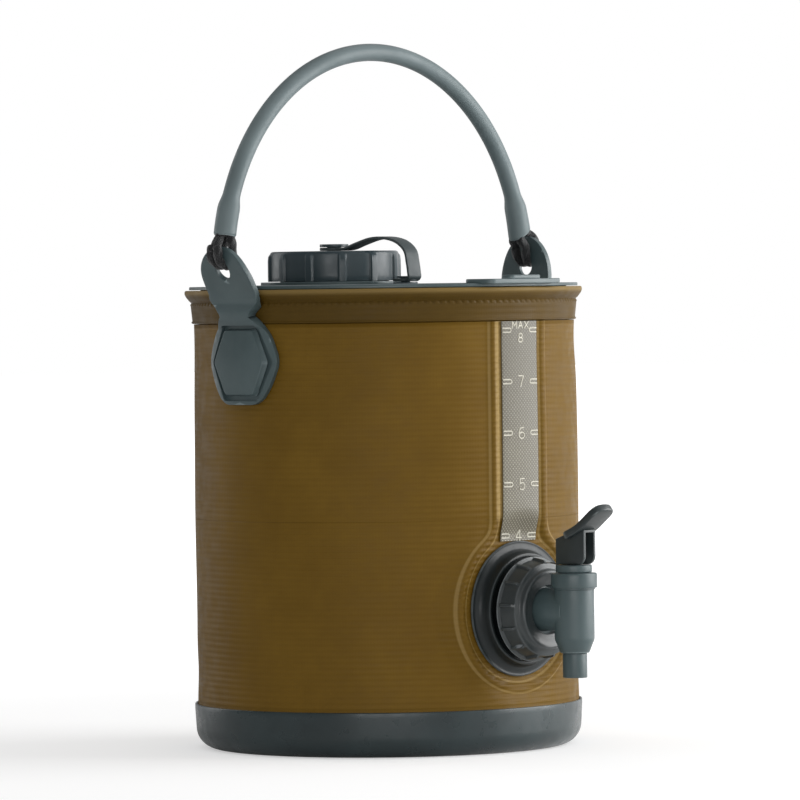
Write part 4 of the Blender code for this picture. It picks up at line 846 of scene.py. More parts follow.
def make_walls():
    count = round((WALL_HIGH.z - TAP_CENTRE + BLEND_RADIUS) / FINE_ROW)
    heights = even_steps(FOLD_LOW.z, TAP_CENTRE - BLEND_RADIUS, count)
    heights += even_steps(TAP_CENTRE - BLEND_RADIUS, WALL_LOW.z, 5)[1:]
    fold_count = round((FOLD_HIGH.z - FOLD_LOW.z) / COARSE_ROW)
    fold_heights = even_steps(FOLD_HIGH.z, FOLD_LOW.z, fold_count)
    lower = wall_shell("lower_wall", heights, wall_run(fold_heights))
    hole = rod("tap_hole", TAIL_RADIUS + SKIN_GAP, HOLE_START, HOLE_END, TAP_FRAME)
    dress("fabric_lower_wall", combined(lower, [hole], "DIFFERENCE"), FABRIC,
          "base", ["wall_lower"])
    fold = wall_shell("fold", fold_heights, 0)
    holes = [rod("screw_hole", SCREW_RADIUS, HOLE_START, HOLE_END,
                 side_frame(side, BUTTON_HEIGHT), PIN_STEPS) for side in (-1, 1)]
    piece = dress("fabric_folding_wall", combined(fold, holes, "DIFFERENCE"), FABRIC,
                  "base", ["wall_fold"])
    flatten(piece)


def flatten(piece):
    """Give a piece of the folding wall a mesh of its own."""
    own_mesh(piece)


make_walls()


# Hem: a lip over a row of weld dashes, a flat band and a fine ridge at its foot
HEM_BOTTOM = HEM_LOW.z
LIP_PROUD = 0.0040
HEM_RADIUS = LIP_RADIUS - LIP_PROUD
HEM_INNER = WALL_RADIUS - 0.0039
POCKET_INNER = HEM_INNER + 0.0008
POCKET_TOP = RIM_HEIGHT - 0.0014
LIP_EDGE = 0.0009
DASH_PITCH = 0.0043
DASH_COUNT = round(math.tau * HEM_RADIUS / DASH_PITCH)
DASH_COLUMNS = 8
DASH_HEIGHT = RIM_HEIGHT - 0.0078
DASH_REACH = 0.0010
DASH_RISE = 0.00050
DASH_STEEP = 1.4
DASH_LENGTH_SHARE = 1.5
HEM_ROW = 0.0005
LIP_WAVE_SIZE = 0.030
LIP_WAVE = 0.0004
# The outer face down from the top: drop from the rim, and how far it stands off the hem band
HEM_FACE = (
    (0.0000, LIP_PROUD - LIP_EDGE), (0.0002, LIP_PROUD - LIP_EDGE / 3), (0.0008, LIP_PROUD),
    (0.0020, LIP_PROUD), (0.0030, 0.0036), (0.0042, 0.0028), (0.0054, 0.0018),
    (0.0063, 0.0010), (0.0068, 0.0003), (0.0072, -0.0001), (0.0077, 0.0001),
    (0.0086, 0.0005), (0.0100, 0.0004), (0.0168, -0.0003), (0.0174, -0.0002),
    (0.0178, 0.0002), (0.0182, 0.0002), (0.0186, -0.0003), (0.0187, -0.0006),
)
HOOP_THICKNESS = 0.0025
HOOP_STEPS = 160
# Base tub
TUB_CORNER = 0.012
TUB_SKIN = 0.0013
TUB_TAPER = 0.0006
TUB_TOP_ROUND = 0.0006
TUB_TOP_REACH = 0.003
TUB_STEPS = 256
FOOT_INNER = 0.0800
FOOT_STEP = 0.0006
SLACK_SIZE = 0.04
SLACK_RISE = 0.0012
# Gauge window
FILM_TOP = 0.0010
FILM_SKIN = 0.0006
FILM_COLUMN = 0.0012
FILM_FOOT = TAP_CENTRE + FLANGE_RADIUS + 0.0001
LITRE_DROP = 0.0284
TOP_LITRE = 8
TOP_MARK = RIM_HEIGHT - 0.0240
MARK_RADIUS = 0.00042
MARK_STEP = 0.0006
MARK_SIDES = 8
DIGIT_HEIGHT = 0.0062
DIGIT_WIDTH = 0.0044
WORD_HEIGHT = 0.0046
# Shares of a digit and of the word that set the top mark apart
TOP_DIGIT_DROP = 0.68
TOP_DIGIT_SCALE = 0.78
WORD_RISE = 0.62
LETTER_WIDTH = 0.72
LETTER_RISE = 0.85
TICK_INNER = GAUGE_HIGH.x - 0.0066
TICK_OUTER = GAUGE_HIGH.x - 0.0006
TICK_HALF = 0.0011


def refined(points, longest, closed=True):
    """An outline with its long stretches divided."""
    result = []
    for start, end in zip(points, points[1:] + points[:closed]):
        count = max(math.ceil((Vector(end) - Vector(start)).length / longest), 1)
        result += [tuple(Vector(start).lerp(Vector(end), step / count)) for step in range(count)]
    return result if closed else result + [tuple(points[-1])]


def make_hem():
    face = [(HEM_RADIUS + out, RIM_HEIGHT - drop) for drop, out in HEM_FACE]
    profile = refined(face, HEM_ROW, closed=False)[:-1]
    profile += [(WALL_RADIUS, HEM_BOTTOM), (WALL_RADIUS, POCKET_TOP)]
    profile += [(POCKET_INNER, POCKET_TOP), (POCKET_INNER, HEM_BOTTOM), (HEM_INNER, HEM_BOTTOM)]
    profile += arc(HEM_INNER + LIP_EDGE, RIM_HEIGHT - LIP_EDGE, LIP_EDGE, 180, 90, CORNER_STEPS)

    def warp(point):
        radius = point.xy.length
        angle = math.atan2(point.y, point.x)
        out = 0
        if radius > WALL_RADIUS + TINY:
            near = max(1 - abs(point.z - DASH_HEIGHT) / DASH_REACH, 0)
            dash = 0.5 + 0.5 * math.cos(angle * DASH_COUNT)
            out += DASH_RISE * ease(near * DASH_STEEP) * ease(dash * DASH_LENGTH_SHARE)
            high = ease((point.z - DASH_HEIGHT) / (RIM_HEIGHT - DASH_HEIGHT))
            place = Vector((point.x, point.y, 0)) / LIP_WAVE_SIZE
            out += LIP_WAVE * high * (noise.noise(place) - 0.5)
        return point + outward(point) * out

    mesh = turned("hem", profile, DASH_COUNT * DASH_COLUMNS, warp=warp, sharp=TUBE_SHARP)
    dress("fabric_hem", mesh, SHADED_HEM_FABRIC, "rim", ["top_hem"])


def make_hoop():
    """The stiff steel hoop inside the hem's pocket."""
    low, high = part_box("rim_hoop")
    profile = rounded(corners_of(high.x - HOOP_THICKNESS, high.x, high.z, low.z),
                      HOOP_THICKNESS / 3)
    dress("hoop", turned("hoop", profile, HOOP_STEPS), STEEL, "rim", ["rim_hoop"])


def make_tub():
    centre = TUB_RADIUS - TUB_TAPER - TUB_CORNER
    profile = [(0, TUB_SKIN)]
    profile += arc(centre, TUB_CORNER, TUB_CORNER - TUB_SKIN, -90, 0, 10)
    inner = TUB_RADIUS - TUB_SKIN
    profile += rounded([(inner, TUB_HEIGHT - TUB_TOP_REACH), (inner, TUB_HEIGHT),
                        (TUB_RADIUS, TUB_HEIGHT),
                        (TUB_RADIUS, TUB_HEIGHT - TUB_TOP_REACH)], TUB_TOP_ROUND,
                       closed=False)
    profile += arc(centre, TUB_CORNER, TUB_CORNER, 0, -90, BOWL_STEPS)
    profile += [(FOOT_INNER, 0), (FOOT_INNER - FOOT_STEP, FOOT_STEP), (0, FOOT_STEP)]
    dress("tub", turned("tub", profile, TUB_STEPS), TUB_GREY, "base",
          ["base_tub"])


def make_bag_floor():
    """The fabric floor, which laps up inside the wall, a little slack over the tub."""
    low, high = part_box("bag_floor")
    skin = FABRIC_SKIN
    corner = TUB_CORNER - low.z
    centre = high.x - corner
    profile = [(0, low.z + skin), (centre / 2, low.z + skin)]
    profile += arc(centre, low.z + corner, corner - skin, -90, 0, ARC_STEPS)
    profile += [(high.x - skin, high.z), (high.x, high.z)]
    profile += arc(centre, low.z + corner, corner, 0, -90, ARC_STEPS)
    profile += [(centre / 2, low.z), (0, low.z)]

    def warp(point):
        slack = 1 - ease((point.xy.length - centre / 2) / (centre / 2))
        rise = SLACK_RISE * slack * abs(noise.noise(point / SLACK_SIZE))
        return point + Vector((0, 0, rise))

    mesh = turned("bag_floor", profile, RING_STEPS, warp=warp)
    dress("fabric_floor", mesh, FABRIC, "base", ["bag_floor"])


def on_wall(x, height, out):
    """A point in front of the wall, at a length across from the tap's plane."""
    return wall_point(x / WALL_RADIUS, height, out, band=False)


def make_film(name, low, high, stands_for):
    """A strip of the gauge window's film between two heights."""
    half = GAUGE_HIGH.x
    section = rounded(corners_of(-half, half, FILM_TOP - FILM_SKIN, FILM_TOP), FILM_SKIN / 3)
    section = refined(section, FILM_COLUMN)[::-1]
    count = max(round((high - low) / COARSE_ROW), 8)
    rows = [[on_wall(x, height, out) for x, out in section]
            for height in even_steps(high, low, count)]
    mesh = grid_mesh(name, rows, ends=(0, count), sharp=SHEET_SHARP)
    return dress(name, mesh, FILM, "base", stands_for)


def bowl(centre, radius, start, end, squeeze=1):
    return [(x, centre[1] + (y - centre[1]) * squeeze)
            for x, y in arc(*centre, radius, start, end, BOWL_STEPS)]


# Strokes of the numbers and letters, in shares of their width and height
STROKES = {
    "8": [bowl((0.5, 0.74), 0.38, 0, 360, 0.66), bowl((0.5, 0.26), 0.46, 0, 360, 0.57)],
    "7": [[(0.05, 1), (0.95, 1), (0.62, 0.5), (0.38, 0)]],
    "6": [[(0.85, 0.98)] + bowl((0.62, 0.5), 0.58, 120, 180, 0.85)
          + bowl((0.5, 0.28), 0.46, 180, 520, 0.6)],
    "5": [[(0.9, 1), (0.18, 1), (0.1, 0.56)] + bowl((0.47, 0.32), 0.45, 120, -150, 0.68)],
    "4": [[(0.72, 0), (0.72, 1), (0.02, 0.3), (1, 0.3)]],
    "M": [[(0, 0), (0.05, 1), (0.5, 0.35), (0.95, 1), (1, 0)]],
    "A": [[(0, 0), (0.5, 1), (1, 0)], [(0.2, 0.36), (0.8, 0.36)]],
    "X": [[(0, 0), (1, 1)], [(0, 1), (1, 0)]],
}


def raised_line(path):
    """A half sunk rod on the gauge window through places across and up."""
    fine = refined(path, MARK_STEP, closed=False)
    points = [on_wall(x, height, FILM_TOP) for x, height in fine]
    return swept("line", points, lambda share: MARK_RADIUS, MARK_SIDES)


def sign(character, x, height, width, rise):
    """The raised strokes of a number or letter with its middle at a place."""
    return [raised_line([(x + (across - 0.5) * width, height + (up - 0.5) * rise)
                         for across, up in stroke]) for stroke in STROKES[character]]


def tick(side, height):
    """A litre mark: two level lines joined by a round end."""
    turn = arc(0, 0, TICK_HALF, 90, -90, 6)
    path = [(TICK_OUTER, height + TICK_HALF)]
    path += [(TICK_INNER + TICK_HALF - x, height + y) for x, y in turn]
    path += [(TICK_OUTER, height - TICK_HALF)]
    return raised_line([(side * x, y) for x, y in path])


def make_gauge():
    flatten(make_film("gauge_film_strip", FOLD_LOW.z, FOLD_HIGH.z, ["gauge_window"]))
    make_film("gauge_film_foot", FILM_FOOT, FOLD_LOW.z, [])
    count = 0
    height = TOP_MARK
    folding = []
    fixed = []
    while height > FILM_FOOT:
        group = folding if height > FOLD_LOW.z + DIGIT_HEIGHT else fixed
        group += [tick(-1, height), tick(1, height)]
        level = height if count else height - DIGIT_HEIGHT * TOP_DIGIT_DROP
        scale = 1 if count else TOP_DIGIT_SCALE
        group += sign(str(TOP_LITRE - count), 0, level, DIGIT_WIDTH * scale, DIGIT_HEIGHT * scale)
        count += 1
        height -= LITRE_DROP
    for letter, place in (("M", -1), ("A", 0), ("X", 1)):
        folding += sign(letter, place * WORD_HEIGHT, TOP_MARK + WORD_HEIGHT * WORD_RISE,
                        WORD_HEIGHT * LETTER_WIDTH, WORD_HEIGHT * LETTER_RISE)
    flatten(dress("litre_marks", joined("litre_marks", folding), MARKS, "base"))
    dress("low_litre_mark", joined("low_litre_mark", fixed), MARKS, "base")


make_hem()
make_hoop()
make_tub()
make_bag_floor()
make_gauge()


# Lid, filler and tether
LID_TOP = LID_LOW.z + 0.0070
LID_BOTTOM = LID_TOP - 0.0018
LID_EDGE = 0.0006
SKIRT_OUTER = HEM_INNER - 0.0005
SKIRT_INNER = SKIRT_OUTER - 0.0015
BEAD_RADIUS = 0.0965
BEAD_REACH = 0.0014
BEAD_RISE = 0.0004
TAB_WIDTH = 0.0560
TAB_DEPTH = 0.0220
TAB_THICKNESS = 0.0028
TAB_CORNER = 0.0040
TAB_SINK = 0.0004
TAB_BEVEL = 0.0006
PAD_BEVEL = 0.0008
HOLE_OVERRUN = 0.01
PAD_WIDTH = 0.0240
PAD_DEPTH = 0.0092
PAD_CORNER = 0.0028
PAD_INSET = 0.0003
TAB_MIDDLE = LID_LOW.y + TAB_DEPTH / 2
NECK_RADIUS = 0.0310
NECK_BORE = 0.0286
NECK_FLANGE = NECK_HIGH.x
NECK_EDGE = 0.0006
NECK_CORNER = 0.0005
BORE_EDGE = 0.0004
THREAD_PITCH = 0.0044
THREAD_DEPTH = 0.0009
THREAD_START = 0.0012
THREAD_ROW = 0.00035
NECK_STEPS = 160
CAP_RADIUS = CAP_HIGH.x - 0.0014
CAP_INNER = 0.0315
CAP_SKIN = 0.0020
CAP_EDGE = 0.0018
CAP_BAND = 0.0010
CAP_FOOT = 0.0006
DISH_SHARE = 0.74
DISH_STEP = 0.0005
CAP_RIBS = 12
CAP_RIB_HALF = 0.0021
CAP_RIB_TURN = 23.7
CAP_RIB_PROUD = 0.0014
CAP_RIB_FILLET = 0.0007
CAP_STEPS = 480
HUB_RADIUS = HUB_HIGH.x
HUB_STUD = 0.0040
HUB_HEAD = 0.0016
ANCHOR_RADIUS = ANCHOR_HIGH.x
ANCHOR_HEAD = 0.0050
ANCHOR_STUD = 0.0026
ANCHOR_SKIN = 0.0010
EYE_THICKNESS = 0.0018
EYE_OVERRUN = 0.0040
STRAP_CORNER = 0.0005
STRAP_WIDTH = 0.0100
STRAP_THICKNESS = 0.0015
# The strap's route: the share of the way from hub to anchor, and the share of its rise
STRAP_ROUTE_SHARES = (
    (0.0, 1.0), (0.207, 1.0), (0.379, 1.146), (0.586, 1.301), (0.776, 1.312),
    (0.948, 1.19), (1.069, 0.914), (1.105, 0.528), (1.121, 0.231), (1.124, 0.088),
    (1.086, 0.0), (0.983, 0.0),
)


def rounded_rectangle(width, depth, corner):
    x = width / 2 - corner
    y = depth / 2 - corner
    points = []
    for turn, (centre_x, centre_y) in enumerate(((x, y), (-x, y), (-x, -y), (x, -y))):
        points += arc(centre_x, centre_y, corner, 90 * turn, 90 * turn + 90, 6)
    return points


def make_lid():
    bead = [(BEAD_RADIUS + BEAD_REACH * out, LID_TOP + BEAD_RISE * (1 - out * out))
            for out in even_steps(-1, 1, 6)]
    beside = BEAD_REACH + BEAD_RISE
    profile = [(0, LID_TOP), (BEAD_RADIUS - beside, LID_TOP)] + bead
    profile += [(BEAD_RADIUS + beside, LID_TOP), (LID_RADIUS - LID_EDGE * 3, LID_TOP)]
    profile += arc(LID_RADIUS - LID_EDGE, LID_TOP - LID_EDGE, LID_EDGE, 90, 0, CORNER_STEPS)
    profile += rounded([(LID_RADIUS, LID_BOTTOM + LID_EDGE), (LID_RADIUS, LID_BOTTOM),
                        (SKIRT_OUTER, LID_BOTTOM), (SKIRT_OUTER, LID_LOW.z),
                        (SKIRT_INNER, LID_LOW.z), (SKIRT_INNER, LID_BOTTOM),
                        (0, LID_BOTTOM)], LID_EDGE / 2, closed=False)
    disc = turned("lid_disc", profile, FINE_STEPS)
    spot = Matrix.Translation((0, TAB_MIDDLE, 0))
    low = LID_TOP - TAB_SINK
    tab = plate("lid_tab", rounded_rectangle(TAB_WIDTH, TAB_DEPTH, TAB_CORNER), low,
                low + TAB_THICKNESS, TAB_BEVEL, spot)
    spot = Matrix.Translation((0, LID_LOW.y + PAD_INSET + PAD_DEPTH / 2, 0))
    pad = plate("lid_pad", rounded_rectangle(PAD_WIDTH, PAD_DEPTH, PAD_CORNER),
                low + TAB_THICKNESS - TAB_SINK, LID_HIGH.z, PAD_BEVEL, spot)
    hole = rod("neck_hole", NECK_RADIUS + FINE_GAP, LID_BOTTOM - HOLE_OVERRUN,
               LID_TOP + HOLE_OVERRUN, FILLER_FRAME, RING_STEPS)
    lid = combined(disc, [tab, pad], "UNION")
    lid = smooth(combined(lid, [hole], "DIFFERENCE"))
    dress("lid_shell", lid, GREY, "lid", ["lid"])


def thread_rise(point, low, high):
    """How deep a screw thread cuts in at a point round the filler's axis."""
    if not low < point.z < high:
        return 0
    turn = math.atan2(point.y, point.x) / math.tau
    phase = (point.z / THREAD_PITCH - turn) % 1
    fade = ease(min(point.z - low, high - point.z) / THREAD_PITCH)
    return THREAD_DEPTH * (0.5 - 0.5 * math.cos(phase * math.tau)) * fade


def make_neck():
    top = NECK_HIGH.z
    flange_top = CAP_LOW.z - FINE_GAP
    flange_low = LID_TOP + FINE_GAP
    rows = round((top - flange_top) / THREAD_ROW)
    start = top - NECK_EDGE
    profile = [(NECK_RADIUS - NECK_EDGE, top), (NECK_RADIUS, start)]
    profile += [(NECK_RADIUS, z) for z in even_steps(start - FINE_GAP, flange_top + SKIN_GAP,
                                                     rows)]
    profile += rounded([(NECK_RADIUS, flange_top), (NECK_FLANGE, flange_top),
                        (NECK_FLANGE, flange_low), (NECK_RADIUS, flange_low)], NECK_CORNER,
                       closed=False)
    profile += [(NECK_RADIUS, NECK_LOW.z), (NECK_BORE, NECK_LOW.z)]
    profile += [(NECK_BORE, top - BORE_EDGE), (NECK_BORE + BORE_EDGE, top)]

    def warp(point):
        if abs(point.xy.length - NECK_RADIUS) > TINY:
            return point
        cut = thread_rise(point, flange_top + THREAD_START, top)
        return point - outward(point) * cut

    mesh = turned("neck", profile, NECK_STEPS, FILLER_FRAME, warp)
    dress("neck_shell", mesh, GREY, "lid", ["filler_neck"])


def make_cap():
    top = CAP_HIGH.z
    low = CAP_LOW.z
    ceiling = top - CAP_SKIN
    rows = round((ceiling - low) / THREAD_ROW)
    hole = HUB_STUD + FINE_GAP
    dish = CAP_RADIUS * DISH_SHARE
    profile = [(hole, top - FINE_GAP), (hole + FINE_GAP, top), (dish, top)]
    profile += [(dish + DISH_STEP, top - DISH_STEP), (dish + 3 * DISH_STEP, top - DISH_STEP),
                (dish + 4 * DISH_STEP, top)]
    profile += arc(CAP_RADIUS - CAP_EDGE, top - CAP_EDGE, CAP_EDGE, 90, 0, ARC_STEPS)
    profile += [(CAP_RADIUS, z) for z in even_steps(top - CAP_EDGE - CAP_BAND, low + CAP_FOOT, 5)]
    profile += [(CAP_RADIUS - CAP_FOOT / 3, low + CAP_FOOT / 6), (CAP_RADIUS - CAP_FOOT, low)]
    profile += [(CAP_INNER + CAP_FOOT, low)]
    profile += [(CAP_INNER, z) for z in even_steps(low + CAP_FOOT, ceiling, rows)]
    profile += [(hole, ceiling)]
    round_over = CAP_EDGE + CAP_RIB_PROUD
    shoulder = top - CAP_EDGE / 2 - round_over

    def warp(point):
        radius = point.xy.length
        away = outward(point)
        if abs(radius - CAP_INNER) < TINY:
            return point + away * thread_rise(point, low + CAP_BAND, ceiling - 2 * CAP_BAND)
        if radius < CAP_RADIUS - CAP_EDGE - TINY:
            return point
        beside = from_rib(point, CAP_RIBS, CAP_RIB_TURN)
        rise = ease((CAP_RIB_HALF + CAP_RIB_FILLET / 2 - beside) / CAP_RIB_FILLET)
        over = max(point.z - shoulder, 0) / round_over
        crest = CAP_RADIUS + CAP_RIB_PROUD - round_over * (1 - math.sqrt(max(1 - over ** 2, 0)))
        return point + away * max(crest - radius, 0) * rise

    mesh = turned("cap", profile, CAP_STEPS, FILLER_FRAME, warp, FORM_SHARP)
    dress("cap_shell", mesh, CAP_GREY, "cap", ["filler_cap"])


def make_gasket():
    """The sealing ring under the cap's ceiling, over the neck's end."""
    low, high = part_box("cap_gasket")
    profile = rounded(corners_of(NECK_BORE, high.x, high.z, low.z), SOFT_CORNER)
    mesh = turned("cap_seal", profile, RING_STEPS, FILLER_FRAME)
    dress("cap_seal", mesh, RUBBER, "cap", ["cap_gasket"])


def make_stud(name, frame, levels, radii, body, stands_for):
    """A stud with a head and a foot, as three stacked discs with soft edges."""
    top, head_low, foot_top, bottom = levels
    head, stud, foot = radii
    profile = rounded([(0, top), (head, top), (head, head_low), (stud, head_low),
                       (stud, foot_top), (foot, foot_top), (foot, bottom), (0, bottom)],
                      SOFT_CORNER, closed=False)
    mesh = turned(name, profile, SMALL_STEPS, frame)
    dress(name, mesh, CAP_GREY, body, stands_for)


def make_tether():
    """The strap between the studs, with its eyes."""
    hub_level = CAP_HIGH.z + FINE_GAP + EYE_THICKNESS / 2
    anchor_level = ANCHOR_LOW.z + FINE_GAP + ANCHOR_SKIN + EYE_THICKNESS / 2
    anchor_place = ANCHOR_FRAME.translation.y
    knots = [(0, blend(CAP_CENTRE, anchor_place, along), blend(anchor_level, hub_level, up))
             for along, up in STRAP_ROUTE_SHARES]
    path = [Vector(point) for point in smooth_path(knots, 6)]
    section = rounded(corners_of(-STRAP_WIDTH / 2, STRAP_WIDTH / 2, -STRAP_THICKNESS / 2,
                                 STRAP_THICKNESS / 2), STRAP_CORNER)
    rows = []
    for index, point in enumerate(path):
        along = (path[min(index + 1, len(path) - 1)] - path[max(index - 1, 0)]).normalized()
        up = Vector((1, 0, 0)).cross(along)
        rows.append([point + Vector((1, 0, 0)) * x + up * y for x, y in section])
    strap = grid_mesh("strap", rows, ends=(0, len(rows) - 1), sharp=SHEET_SHARP)
    half = EYE_THICKNESS / 2
    for frame, level, outer, hole in (
            (FILLER_FRAME, hub_level, HUB_RADIUS, HUB_STUD),
            (ANCHOR_FRAME, anchor_level, ANCHOR_RADIUS, ANCHOR_STUD)):
        profile = rounded(corners_of(0, outer, level + half, level - half), STRAP_CORNER,
                          closed=False)
        strap = combined(strap, [turned("eye", profile, SMALL_STEPS, frame)], "UNION")
        bore = rod("bore", hole + FINE_GAP, level - EYE_OVERRUN, level + EYE_OVERRUN, frame)
        strap = combined(strap, [bore], "DIFFERENCE")
    piece = dress("tether_strap", smooth(strap, FORM_SHARP), RUBBER, None,
                  ["cap_tether"])
    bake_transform(piece)
    make_stud("hub_stud", FILLER_FRAME,
              (HUB_HIGH.z, HUB_HIGH.z - HUB_HEAD, HUB_LOW.z + HUB_HEAD, HUB_LOW.z),
              (HUB_RADIUS, HUB_STUD, HUB_RADIUS), "cap_hub", ["tether_hub"])
    make_stud("anchor_stud", ANCHOR_FRAME,
              (ANCHOR_HIGH.z, ANCHOR_HIGH.z - ANCHOR_SKIN, ANCHOR_LOW.z + ANCHOR_SKIN,
               ANCHOR_LOW.z), (ANCHOR_HEAD, ANCHOR_STUD, ANCHOR_RADIUS), "lid",
              ["tether_anchor"])


make_lid()
make_neck()
make_cap()
make_gasket()
make_tether()


# Arms, their buttons, the cords at the ears and the handle
ARM_THICKNESS = 0.0030
ARM_BEVEL = 0.0009
ARM_STANDOFF = 0.0005
ARM_INNER = WALL_RADIUS + ARM_STANDOFF
EAR_HALF = LEFT_ARM_HIGH.y
EAR_CENTRE = RIM_HEIGHT + 0.0040
EAR_START = RIM_HEIGHT - 0.0033
LEAN_HEIGHT = RIGHT_ARM_HIGH.z - EAR_START
LEANS = {-1: 0.0095, 1: 0.0011}
EAR_TOPS = {-1: LEFT_ARM_HIGH.z, 1: RIGHT_ARM_HIGH.z}
EAR_HOLE = 0.0050
HOLE_CHAMFER = 0.0005
NARROW_HALF = 0.01075
NARROW_HEIGHT = RIM_HEIGHT - 0.0150
FLARE_TOP = RIM_HEIGHT - 0.0050
WRAP_START = RIM_HEIGHT - 0.0040
WRAP_END = RIM_HEIGHT - 0.0220
# Middle of an arm: height from the rim, and the share of its way out from wall to lip
ARM_KNOTS = ((-0.0700, 0.0), (-0.0400, 0.0), (-0.0225, 0.0), (-0.0195, 0.30),
             (-0.0155, 0.82), (-0.0115, 0.92), (-0.0080, 0.74), (-0.0058, 0.80),
             (-0.0036, 1.0), (-0.0020, 1.0))
EAR_LEAN_SHARES = ((0.24, 0.36), (0.48, 0.78), (0.72, 1.0), (1.05, 1.06))
ARM_COLUMNS = 16
ARM_ROWS = 60
EAR_STEPS = 24
PLATE_COLUMNS = 10
PLATE_ROWS = 4
# Foot of an arm: half width at heights from the button's middle
FOOT_OUTLINE = ((-0.0234, 0.0), (-0.0234, 0.0110), (-0.0200, 0.0166), (-0.0130, 0.0214),
                (-0.0020, 0.0262), (0.0040, 0.0260), (0.0151, 0.0214), (0.0205, 0.0166),
                (0.0254, 0.0112))
FOOT_CORNER = 0.0030
BUTTON_PROUD = 0.0010
BUTTON_FACE = ARM_INNER + ARM_THICKNESS + BUTTON_PROUD
BUTTON_HALF = 0.0178
BUTTON_POINT = 0.0198
BUTTON_FLAT = 0.0111
BUTTON_CORNER = 0.0016
# How far the upper and lower sides move in where the points move in by one
BUTTON_SHARE = 0.87
BUTTON_DRAFT = 0.0010
BUTTON_EDGE = 0.0006
GROOVE_WIDTH = 0.0040
GROOVE_DEPTH = 0.0024
BRACKET_INNER = WALL_RADIUS + 0.0016
BRACKET_LOW = RIM_HEIGHT - 0.0225
BRACKET_HIGH = RIM_HEIGHT - 0.0068
BRACKET_FADE = 0.0022
PLATE_SIZE = 0.0280
PLATE_THICKNESS = 0.0020
PLATE_RADIUS = WALL_RADIUS - 0.0015 - PLATE_THICKNESS / 2
PLATE_CORNER = 0.0020
SCREW_HEAD = 0.0035
SCREW_HEAD_HEIGHT = 0.0012
SCREW_CORNER = 0.0003
HANDLE_HALF_SPAN = LIP_RADIUS + 0.0041
HANDLE_RISE = 0.1216
HANDLE_SHIFT = -0.0055
HANDLE_END = 8.75
HANDLE_RADIUS = 0.0049
CUFF_RADIUS = 0.0063
CUFF_LENGTH = 0.0150
CUFF_FADE = 0.0090
HANDLE_BORE = 0.0027
MOUTH_RADIUS = 0.0052
MOUTH_LENGTH = 0.0050
HANDLE_ROWS = 180
HANDLE_SLANT = 0.0030
HANDLE_SIDES = 48
HANDLE_LIP = 0.0004
HANDLE_LIP_LENGTH = 0.0005
HANDLE_END_ROWS = (0.25, 0.5, 0.75)
CORD_RADIUS = 0.0020
CORD_SIDES = 16
CORD_LOBES = 4
LOBE_DEPTH = 0.16
STRAND_RADIUS = 0.0027
STRAND_TWIST = 420
STRAND_STEPS = 9
STRAND_SIDES = 24
# Levels of knots over the ear's hole, in times its radius
LOW_KNOT = 1.1
HIGH_KNOT = 2.2
# Least insets of the knot inside the ear from the handle's mouth and from the ear
MOUTH_INSET = 0.0022
EAR_INSET = 0.0010
# Knots of a strand, from the handle's mouth through the ear's hole and back up: the place
# each is at, how many times the strand's distance it lies outside the ear there, how far
# it is moved out, its place across, and how far it is moved up
STRAND_KNOTS = (
    ("mouth", 0, -0.0016, 0.0015, 0.0030),
    ("inside", 0, 0, 0.0030, -0.0030),
    ("high", -1, -0.0008, 0.0042, 0),
    ("low", -1, 0, 0.0034, 0),
    ("hole", 0, 0, 0.0020, 0.0021),
    ("low", 1, 0, 0.0026, 0),
    ("high", 1, 0, 0.0028, 0),
    ("top", 0.8, 0, 0.0014, -0.0004),
    ("over", 0, -0.0006, -0.0004, 0.0012),
    ("mouth", 0, 0.0014, -0.0016, 0.0040),
)


def arm_line(side):
    """Middle line of an arm as places out from the axis and up."""
    near = ARM_INNER + ARM_THICKNESS / 2
    far = LIP_RADIUS + ARM_STANDOFF + ARM_THICKNESS / 2
    knots = [(blend(near, far, out), RIM_HEIGHT + up) for up, out in ARM_KNOTS]
    knots += [(far + LEANS[side] * out, EAR_START + LEAN_HEIGHT * up)
              for up, out in EAR_LEAN_SHARES]
    return smooth_path(knots, CURVE_STEPS)


def line_at(line, height):
    """Distance out, and the line's direction, at a height."""
    for start, end in zip(line, line[1:]):
        if height <= end[1]:
            break
    share = (height - start[1]) / (end[1] - start[1])
    along = (Vector(end) - Vector(start)).normalized()
    return blend(start[0], end[0], share), along


def bent(mesh, side, line, columns, rows, backed=False):
    """Bend a flat plate, laid out across and up, onto a side of the bag along a line. The
    back of a backed one reaches in to the hem below the lip."""
    across = [vert.co.x for vert in mesh.vertices]
    heights = [vert.co.y for vert in mesh.vertices]
    cuts = [((0, height, 0), (0, 1, 0))
            for height in even_steps(min(heights), max(heights), rows)[1:-1]]
    cuts += [((x, 0, 0), (1, 0, 0)) for x in even_steps(min(across), max(across), columns)[1:-1]]
    builder = sliced(mesh, cuts)
    for vert in builder.verts:
        x, height, lift = vert.co
        out, along = line_at(line, height)
        out += along.y * lift
        if backed and lift < 0:
            near = ease((height - BRACKET_LOW) / BRACKET_FADE)
            near *= ease((BRACKET_HIGH - height) / BRACKET_FADE)
            out -= max(out - BRACKET_INNER, 0) * near
        wrap = ease((WRAP_START - height) / (WRAP_START - WRAP_END))
        turn = x / WALL_RADIUS
        flat = Vector((out, x))
        round_place = Vector((out * math.cos(turn), out * math.sin(turn)))
        place = flat.lerp(round_place, wrap)
        vert.co = (side * place.x, place.y, height - along.x * lift)
    bmesh.ops.recalc_face_normals(builder, faces=builder.faces)
    return to_mesh(mesh.name, builder, FORM_SHARP)


